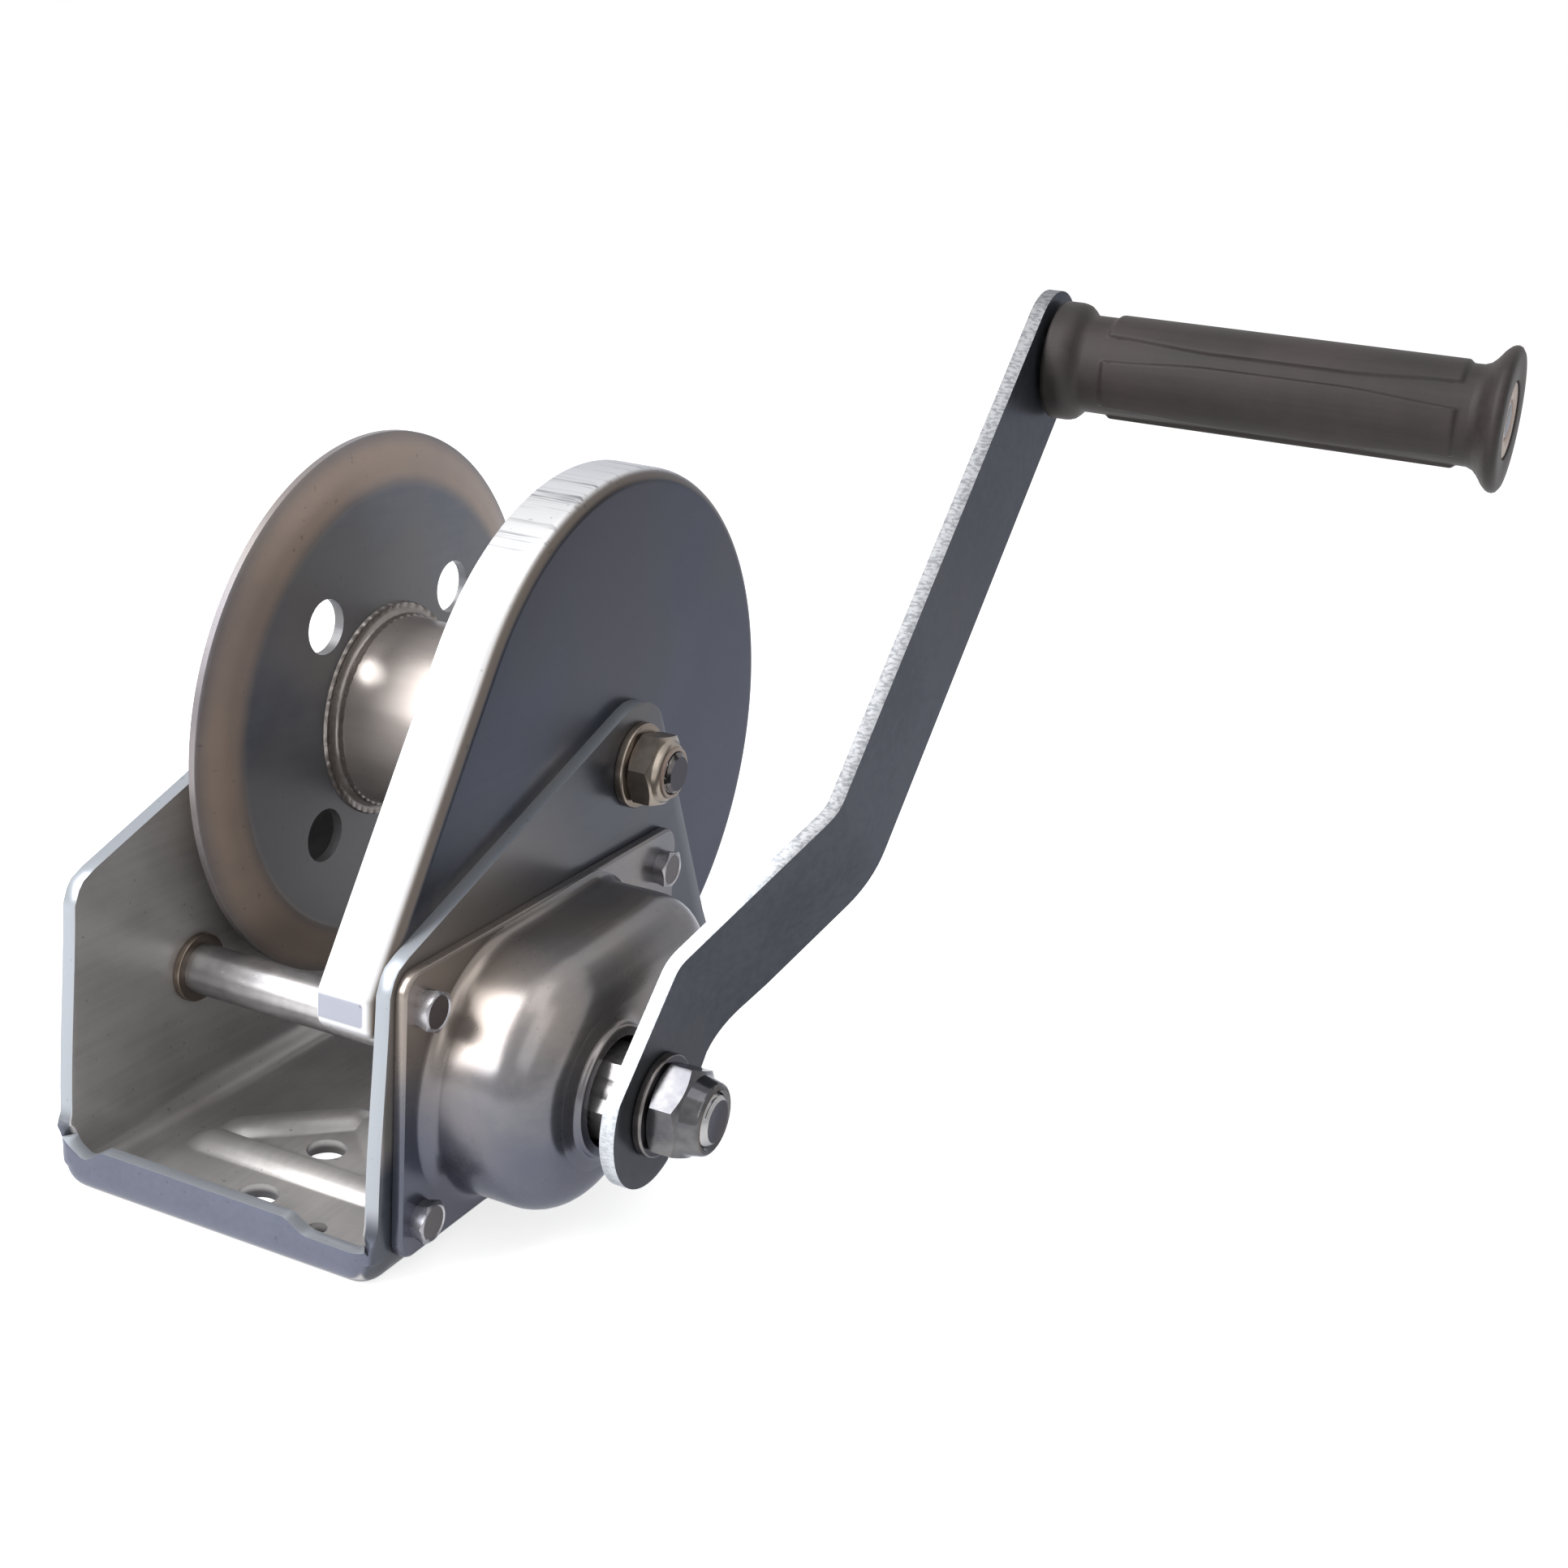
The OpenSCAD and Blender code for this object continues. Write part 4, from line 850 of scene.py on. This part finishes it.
def washer_ring(name, node, x0, x1, r, bore, y, z, body, material):
    """A punched washer: the edge on the die side is rolled, the other is sharp."""
    ring = softened([(x0, bore), (x0, r, 0.3), (x1, r, 0.7), (x1, bore, 0.3), (x0, bore)])
    made = make_piece(name, turned(ring[:-1], y, z, 96, True), body, material)
    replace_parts(made, node)


def locking_nut(name, node, x0, flats, bore, hexagon_height, tip, y, z, body, degrees, material):
    """A hexagon nut with chamfered ends and a rolled collar that holds its nylon ring."""
    x1 = x0 + hexagon_height
    face = flats * 0.47
    nut_line = [(x0, bore)] + hexagon(flats, flats * 0.478, x0, -1) + hexagon(flats, face, x1, 1)
    nut_line += softened([(x1, face), (x1 + 0.1, flats * 0.465, 0.3), (tip - 0.6, flats * 0.42, 4.5),
                          (tip, bore + 1, 0.9), (tip - 0.5, bore + 0.6, 0.3), (tip - 0.9, bore)], count=6)[1:]
    made = make_piece(name, turned(nut_line, closed=True), body, material, 28)
    move_to(made, y, z, degrees)
    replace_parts(made, node)


wall_washer_left, wall_washer_right = -52.4, 52.4
head_x = -59.84
drum_tip = 63.5
fastener_zinc = bright("fastener_zinc", (0.085, 0.078, 0.078), (0.16, 0.145, 0.14), 0.17)
bolt_line = [(head_x, 0), (head_x, 8.2), (-59.5, 8.6)] + hexagon(19, 9.1, head_x, -1)[1:]
bolt_line += [(-52.5, 10.9), (wall_washer_left, 9), (wall_washer_left, 6.0), (wall_out, 6.0)]
bolt_line += thread(52, drum_tip, 6, 1.75, 0.75, 1.2) + [(drum_tip, 4.4), (drum_tip - 0.15, 0)]
bm = turned(bolt_line, 0, drum_z)
drum_bolt = make_piece("drum_bolt_m12", bm, "frame", fastener_zinc, 28)
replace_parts(drum_bolt, "drum_bolt")
drum_nut_zinc = bright("drum_nut_zinc", (0.24, 0.2, 0.165), (0.36, 0.31, 0.26), 0.3, (0.2, 0.165, 0.135))
washer_ring("drum_washer_left", "drum_bolt_washers", wall_washer_left, -wall_out, 12, 6.3, 0, drum_z,
            "frame", fastener_zinc)
washer_ring("drum_washer_right", "drum_bolt_washers", wall_out, wall_washer_right, 12, 6.3, 0, drum_z,
            "frame", drum_nut_zinc)
locking_nut("drum_nut_m12", "drum_nut", wall_washer_right, 19, 6.05, 7.2, 61.6, 0, drum_z, "frame", 20,
            drum_nut_zinc)


# Crank arm: flat bar 38 by 4 mm with round ends, sheared and bent twice, bright zinc-plated. A washer and a
# locking nut hold it on the shaft. The bends are wider along the lower edge, so the sloping part looks
# twisted. Its edge keeps the shear marks.
def edge_and_face(name, dark, light, warm):
    """Zinc on sheared bar: grain runs along the bar, and the cut edge is speckled by the shear and painted
    pale as a highlight on the hub end and the slope, darker on the long outer part.
    """
    made, place, put = new_material(name)
    cloud = place.noise(30, 4, 0.55)
    patch = place.noise(14, 2, 0.5).between(0.45, 0.65)
    streak = place.stretched(0.4, 1, -1).noise(420, 2, 0.6)
    grain = place.noise(2100, 2, 0.6)
    side = abs(place.normal().axis(0)).between(0.75, 0.4)
    shear = place.stretched(0.5, 1, 1).noise(1300, 2, 0.6)
    base = (patch * 0.5).blend((cloud * 0.6 + streak * 0.4).between(0.35, 0.65).blend(dark, light), warm)
    pale = shear.between(0.35, 0.6)
    # Painted highlight: the cut edge is pale on the hub end and the slope, darker further out.
    near = pale.blend((0.38, 0.4, 0.43), (0.52, 0.54, 0.57))
    far = pale.blend((0.15, 0.155, 0.165), (0.27, 0.275, 0.285))
    base = side.blend(base, place.axis(0).between(0.105, 0.117).blend(near, far))
    put(Base_Color=base, Metallic=0.6, Specular_Tint=(0.3, 0.32, 0.38),
        Roughness=cloud * 0.14 + side * 0.1 + 0.28,
        Normal=(grain * 0.3 + streak * 0.3 + cloud * 2 + side * shear * 0.6).bump(0.06, 0.0004))
    return made


crank_len = 242.0
arm_half = 19.0
arm_sheet = 4.0
arm_in = 94.6
arm_offset = 24.0
low_bend, high_bend = 30.0, 80.0
arm_slope = math.atan2(arm_offset, high_bend - low_bend)
root = math.sqrt(0.5)


def arm_line(radius):
    """The middle line of the arm as (s, x, slope), with both bends of one radius."""
    reach = radius * math.tan(arm_slope / 2)
    turns = [arm_slope * i / 8 for i in range(9)]
    line = [(0.0, 0.0, 0.0)]
    line += [(low_bend + radius * math.sin(a) - reach, radius * (1 - math.cos(a)), a) for a in turns]
    line += [(low_bend + (high_bend - low_bend) * t, arm_offset * t, arm_slope) for t in (0.3, 0.5, 0.7)]
    for a in reversed(turns):
        line.append((high_bend + reach - radius * math.sin(a), arm_offset - radius * (1 - math.cos(a)), a))
    return line + [(s, arm_offset, 0.0) for s in (100, 120, 140, 160, 180, 200, 220, crank_len)]


def crank_arm_bar():
    """The bar in columns across its width, each along its own middle line, with a slight waist at the hub."""
    bm = bmesh.new()
    columns = 28
    top, under = [], []
    for j in range(columns + 1):
        w = -arm_half * math.cos(math.pi * j / columns)
        hub_end = 2 + math.sqrt(20 ** 2 - w * w)
        grip_end = math.sqrt(max(0.0, arm_half ** 2 - w * w))
        spots = [(-hub_end * t, 0.0, 0.0) for t in (1, 0.66, 0.33)] + arm_line(14 + 26 * ease(-w, -19, 19))
        spots += [(crank_len + grip_end * t, arm_offset, 0.0) for t in (0.33, 0.66, 1)]
        for rows, side in ((top, arm_sheet / 2), (under, -arm_sheet / 2)):
            row = []
            for s, x, a in spots:
                waist = 3.6 * ease(s, -6, 15) * (1 - ease(s, 15, 46)) * ease(-w, -10, 19)
                x += arm_in + arm_sheet / 2 + side * math.cos(a)
                row.append((s - side * math.sin(a), x, w + waist))
            rows.append(row)

    def vert(s, x, w):
        return bm.verts.new(Vector((x, crank_y + (s - w) * root, crank_z + (s + w) * root)) * mm)

    faces = [[[vert(*spot) for spot in row] for row in rows] for rows in (top, under)]
    rims = []
    for rows in faces:
        for a, b in zip(rows, rows[1:]):
            for i in range(len(a) - 1):
                bm.faces.new((a[i], a[i + 1], b[i + 1], b[i]))
        ends = [row[-1] for row in rows[1:-1]], [row[0] for row in rows[-2:0:-1]]
        rims.append(rows[0] + ends[0] + rows[-1][::-1] + ends[1])
    for i in range(len(rims[0])):
        j = (i + 1) % len(rims[0])
        corners = (rims[0][i], rims[0][j], rims[1][j], rims[1][i])
        if len({tuple(round(c, 6) for c in v.co) for v in corners}) == 4:
            bm.faces.new(corners)
    return bm


grip_y = crank_y + crank_len * root
grip_z = crank_z + crank_len * root
arm_zinc = edge_and_face("arm_zinc", (0.038, 0.042, 0.051), (0.056, 0.061, 0.071), (0.058, 0.057, 0.059))
arm = make_piece("crank_arm_bar", crank_arm_bar(), "crank", arm_zinc)
break_edges(arm, 0.45, 50)
drill(arm, [("X", 90, 102, 9.5, crank_y, crank_z), ("X", 112, 126, 5.05, grip_y, grip_z)])
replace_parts(arm, "crank_arm")

crank_washer_in, crank_washer_out = 98.9, 101.3
washer_ring("crank_washer_m14", "crank_washer", crank_washer_in, crank_washer_out, 13.3, 7.3,
            crank_y, crank_z, "drive", fastener_zinc)
crank_nut_zinc = bright("crank_nut_zinc", (0.056, 0.056, 0.064), (0.118, 0.115, 0.116), 0.16,
                        (0.075, 0.062, 0.05))
locking_nut("crank_nut_m14", "crank_nut", crank_washer_out, 22, 7.05, 8.4, 115, crank_y, crank_z, "drive", 7,
            crank_nut_zinc)


# Drive shaft: turned steel, bright zinc-plated, with a groove for the clip at its left end and the thread for
# the crank hub and the nut at its right end.
shaft_left, shaft_right = -54.0, 115.7
shaft_r, journal_r, groove_r = 7, 8, 6
shaft_line = [(shaft_left, 0), (shaft_left, 6.2), (shaft_left + 0.8, shaft_r)]
shaft_line += [(-51.5, shaft_r), (-51.5, groove_r), (-50.3, groove_r), (-50.3, shaft_r)]
shaft_line += [(x, shaft_r) for x in range(-46, 24, 5)] + [(25, shaft_r)]
shaft_line += [(x, journal_r) for x in (26, 40, 60, 89.6)] + [(90.6, shaft_r)]
shaft_line += thread(98, shaft_right, shaft_r, 2, 0.9, 1.5)
shaft_line += [(shaft_right, shaft_r - 1.5), (shaft_right - 0.2, shaft_r - 2), (shaft_right - 0.2, 0)]
shaft_zinc = bright("shaft_zinc", (0.32, 0.315, 0.32), (0.44, 0.43, 0.43), 0.3)
bm = turned(shaft_line, crank_y, crank_z)
drive_shaft = make_piece("drive_shaft_bar", bm, "drive", shaft_zinc, 28)
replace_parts(drive_shaft, "drive_shaft")


# Crank hub: machined steel, screwed on the shaft. Its disc presses the brake, its hexagon stands out of the
# cover's collar, and its tenon with two flats drives the arm.
def tenon(x):
    """A rule for the round tenon, with its two flats, at one place along X."""
    return lambda angle: (x, min(9.4, 7.8 / max(0.01, abs(math.sin(angle - math.pi / 12)))))


def crank_hub_turning():
    """The hub's profile, from its disc to its tenon and back through its threaded bore."""
    left = min(corner[0] for corner in frame["nodes"]["crank_hub"].bound_box) / mm
    flats, face, start, end = 22, 10.6, 82, 98.2
    line = [(left, 8.05), (left, 20.6), (left + 0.4, 21), (left + 4.1, 21), (left + 4.5, 20.6)]
    line += [(left + 4.5, 11), (start, 11)] + hexagon(flats, face, start, -1)[1:]
    line += hexagon(flats, face, arm_in, 1) + [tenon(arm_in), tenon(end)]
    line += [(end + 0.2, 7.6), (end + 0.2, 7.05), (90.9, 7.05), (90.9, 8.05)]
    return turned(line, closed=True)


hub_steel = bright("hub_steel", (0.3, 0.29, 0.29), (0.42, 0.41, 0.41), 0.28, (0.14, 0.135, 0.135))
crank_hub = make_piece("crank_hub_turning", crank_hub_turning(), "crank", hub_steel, 28)
move_to(crank_hub, crank_y, crank_z, 30)
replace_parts(crank_hub, "crank_hub")


# Grip: a black rubber sleeve moulded with raised panels between four bands, turning on its steel spindle.
# The bands widen at both ends, and the end flange holds a pale cap over the riveted spindle.
def rubber(name, dark, light):
    """Moulded rubber: matt, dusty in patches, with fine pores and rub marks along the panels."""
    made, place, put = new_material(name)
    dust = place.noise(45, 4, 0.6)
    rub = place.stretched(0.05, 1, 1).noise(500, 2, 0.6)
    pore = place.noise(2400, 2, 0.6)
    put(Base_Color=(dust * 0.7 + rub * 0.3).between(0.36, 0.66).blend(dark, light),
        Roughness=dust * 0.2 + rub * 0.1 + 0.42, Specular_IOR_Level=0.32,
        Normal=(pore * 0.5 + rub * 0.5 + dust * 1.5).bump(0.1, 0.0004))
    return made


grip_start = 124.1
grip_end = grip_start + 126
sleeve_r, panel_r = 13.55, 14.5
arm_end = [(0, 15.4), (0.3, 16.2), (1.1, 16.5), (5, 16.5), (6.8, 16.2), (8.2, 15), (9.2, 13.8), (10.6, 13.35),
           (14, 13.3)]
cap_end = [(12, 13.5), (9, 13.6), (7.2, 14.3), (5.6, 15.9), (4.2, 17.9), (3, 19), (2, 19.45), (1.1, 19.4),
           (0.35, 18.9), (0, 18.1)]
grip_line = [(grip_start + gap, r) for gap, r in arm_end] + [(grip_end - gap, r) for gap, r in cap_end]


def grip_radius(x, angle):
    """Radius of the sleeve: its turned line, with raised panels between the four bands."""
    r = along_line(grip_line, x)
    start, end = grip_start + 17, grip_end - 12.5
    middle = abs(2 * (x - start) / (end - start) - 1)
    half = 1.9 + 1.7 * ease(middle, 0.35, 1)
    away = (math.degrees(angle) - 152 + 45) % 90 - 45
    gap = abs(math.radians(away)) * 14
    bulge = ease(x, start - 0.8, start + 0.8) * ease(x, end + 0.8, end - 0.8)
    bulge *= ease(gap, half - 0.35, half + 0.55)
    flange = ease(x, end, end + 3)
    return max(r, sleeve_r * (1 - flange) + r * flange) + (panel_r - sleeve_r) * bulge


def grip_sleeve():
    """The sleeve from its bore at the arm, along its outside, and back through the recess of the cap."""
    xs = steps([(grip_start, 0.4), (grip_start + 2, 1), (grip_start + 15, 0.5), (grip_start + 20, 3),
                (grip_end - 16, 0.5), (grip_end - 8, 0.7), (grip_end, 1)])
    rows = [(grip_start, 6.1), (grip_start, 10)]
    rows += [lambda angle, x=x: (x, grip_radius(x, angle)) for x in xs]
    rows += [(grip_end, 15), (grip_end, 11), (grip_end - 0.15, 10.6), (grip_end - 0.6, 10.5)]
    rows += [(grip_end - 3, 10.5), (grip_end - 3, 6.1)]
    return turned(rows, grip_y, grip_z, 288, True)


grip_rubber = rubber("grip_rubber", (0.013, 0.01, 0.0095), (0.026, 0.02, 0.019))
grip = make_piece("grip_sleeve", grip_sleeve(), "grip", grip_rubber, 40)
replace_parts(grip, "grip")


# End cap: a pale moulded washer that fills the grip's end round the riveted spindle.
# It sits in the recess of the sleeve and stays still while the grip turns.
def nylon(name):
    """Moulded nylon: off-white, slightly glossy, with a faint flow grain."""
    made, place, put = new_material(name)
    flow = place.noise(60, 3, 0.5)
    grain = place.noise(1500, 2, 0.5)
    base = flow.between(0.35, 0.65).blend((0.3, 0.22, 0.18), (0.4, 0.31, 0.265))
    put(Base_Color=base, Roughness=flow * 0.2 + 0.32, Normal=(grain * 0.3 + flow).bump(0.05, 0.0003))
    return made


nylon_ring = nylon("nylon_ring")
cap_line = softened([(247.4, 4.2), (247.4, 10.3), (249.6, 10.3, 0.6), (249.7, 7), (249.3, 5.6, 0.3),
                     (248.5, 5.4), (248.5, 4.2)], 0.1)
bm = turned(cap_line, grip_y, grip_z, 96, True)
grip_cap = make_piece("grip_end_cap", bm, "crank", nylon_ring)
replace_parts(grip_cap, "grip_washer")


# Left shaft bush: turned sintered bronze with a thin collar, pressed into the wall from the inside.
# The drive shaft turns in it.
bush_bronze = bright("bush_bronze", (0.17, 0.135, 0.105), (0.25, 0.2, 0.16), 0.36, (0.16, 0.13, 0.11))
bush_line = softened([(-wall_out, 7.05), (-wall_out, 8.88), (-wall_in, 8.88, 0), (-wall_in, 9.6), (-44, 9.6),
                      (-44, 7.05)], 0.4)
bm = turned(bush_line, crank_y, crank_z, 96, True)
left_bush = make_piece("left_bush_ring", bm, "frame", bush_bronze)
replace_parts(left_bush, "shaft_bush_left")


# Pieces inside or behind others keep their CAD shape, with their edges broken.
# Bronze bushes, machined steel gears, brake and ratchet, fibre discs, nylon rings and the spring steel clips.
def rounded_copy(name, node, body, material):
    """A copy of a CAD piece with its welded edges broken, which then stands for that piece."""
    bm = bmesh.new()
    bm.from_mesh(frame["nodes"][node].data)
    bmesh.ops.remove_doubles(bm, verts=bm.verts, dist=0.002 * mm)
    bmesh.ops.dissolve_limit(bm, angle_limit=math.radians(1), verts=bm.verts, edges=bm.edges)
    sharp = [e for e in bm.edges if len(e.link_faces) == 2 and e.calc_face_angle(0) > math.radians(35)]
    bmesh.ops.bevel(bm, geom=sharp, offset=0.3 * mm, offset_type="OFFSET", segments=2,
                    profile=0.5, affect="EDGES", clamp_overlap=True)
    made = make_piece(name, bm, body, material)
    keep_flats_flat(made)
    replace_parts(made, node)


def lining(name):
    """Pressed friction lining: dark fibre with brass flecks, matt and a little dusty."""
    made, place, put = new_material(name)
    fibre = place.stretched(1, 0.3, 1).noise(900, 3, 0.7)
    fleck = place.noise(1300, 1, 0.4).between(0.68, 0.72)
    base = fibre.between(0.35, 0.65).blend((0.035, 0.03, 0.026), (0.09, 0.075, 0.062))
    put(Base_Color=fleck.blend(base, (0.4, 0.28, 0.12)), Metallic=fleck, Roughness=fibre * 0.2 + 0.6,
        Normal=(fibre + fleck).bump(0.15, 0.0003))
    return made


machined_steel = bright("machined_steel", (0.28, 0.27, 0.26), (0.46, 0.45, 0.44), 0.26, (0.24, 0.23, 0.225))
looks = {
    "plain_steel": machined_steel,
    "bright_zinc": fastener_zinc,
    "bronze": bush_bronze,
    "brake_lining": lining("brake_lining"),
    "nylon": nylon_ring,
}
slot_of = {row["node"]: row["material_slot"] for row in frame["record"]["subparts"]}
shown = {"frame", "gear_cover", "brake_cover", "cover_screws", "drum_bolt", "drum_bolt_washers", "drum_nut",
         "drum_flange", "drum_barrel", "drive_shaft", "shaft_bush_left", "crank_hub", "crank_arm",
         "crank_washer", "crank_nut", "grip", "grip_washer"}
for body, nodes in frame["record"]["behaviour"]["bodies"].items():
    for node in nodes:
        if node not in shown:
            rounded_copy(node + "_piece", node, body, looks[slot_of[node]])
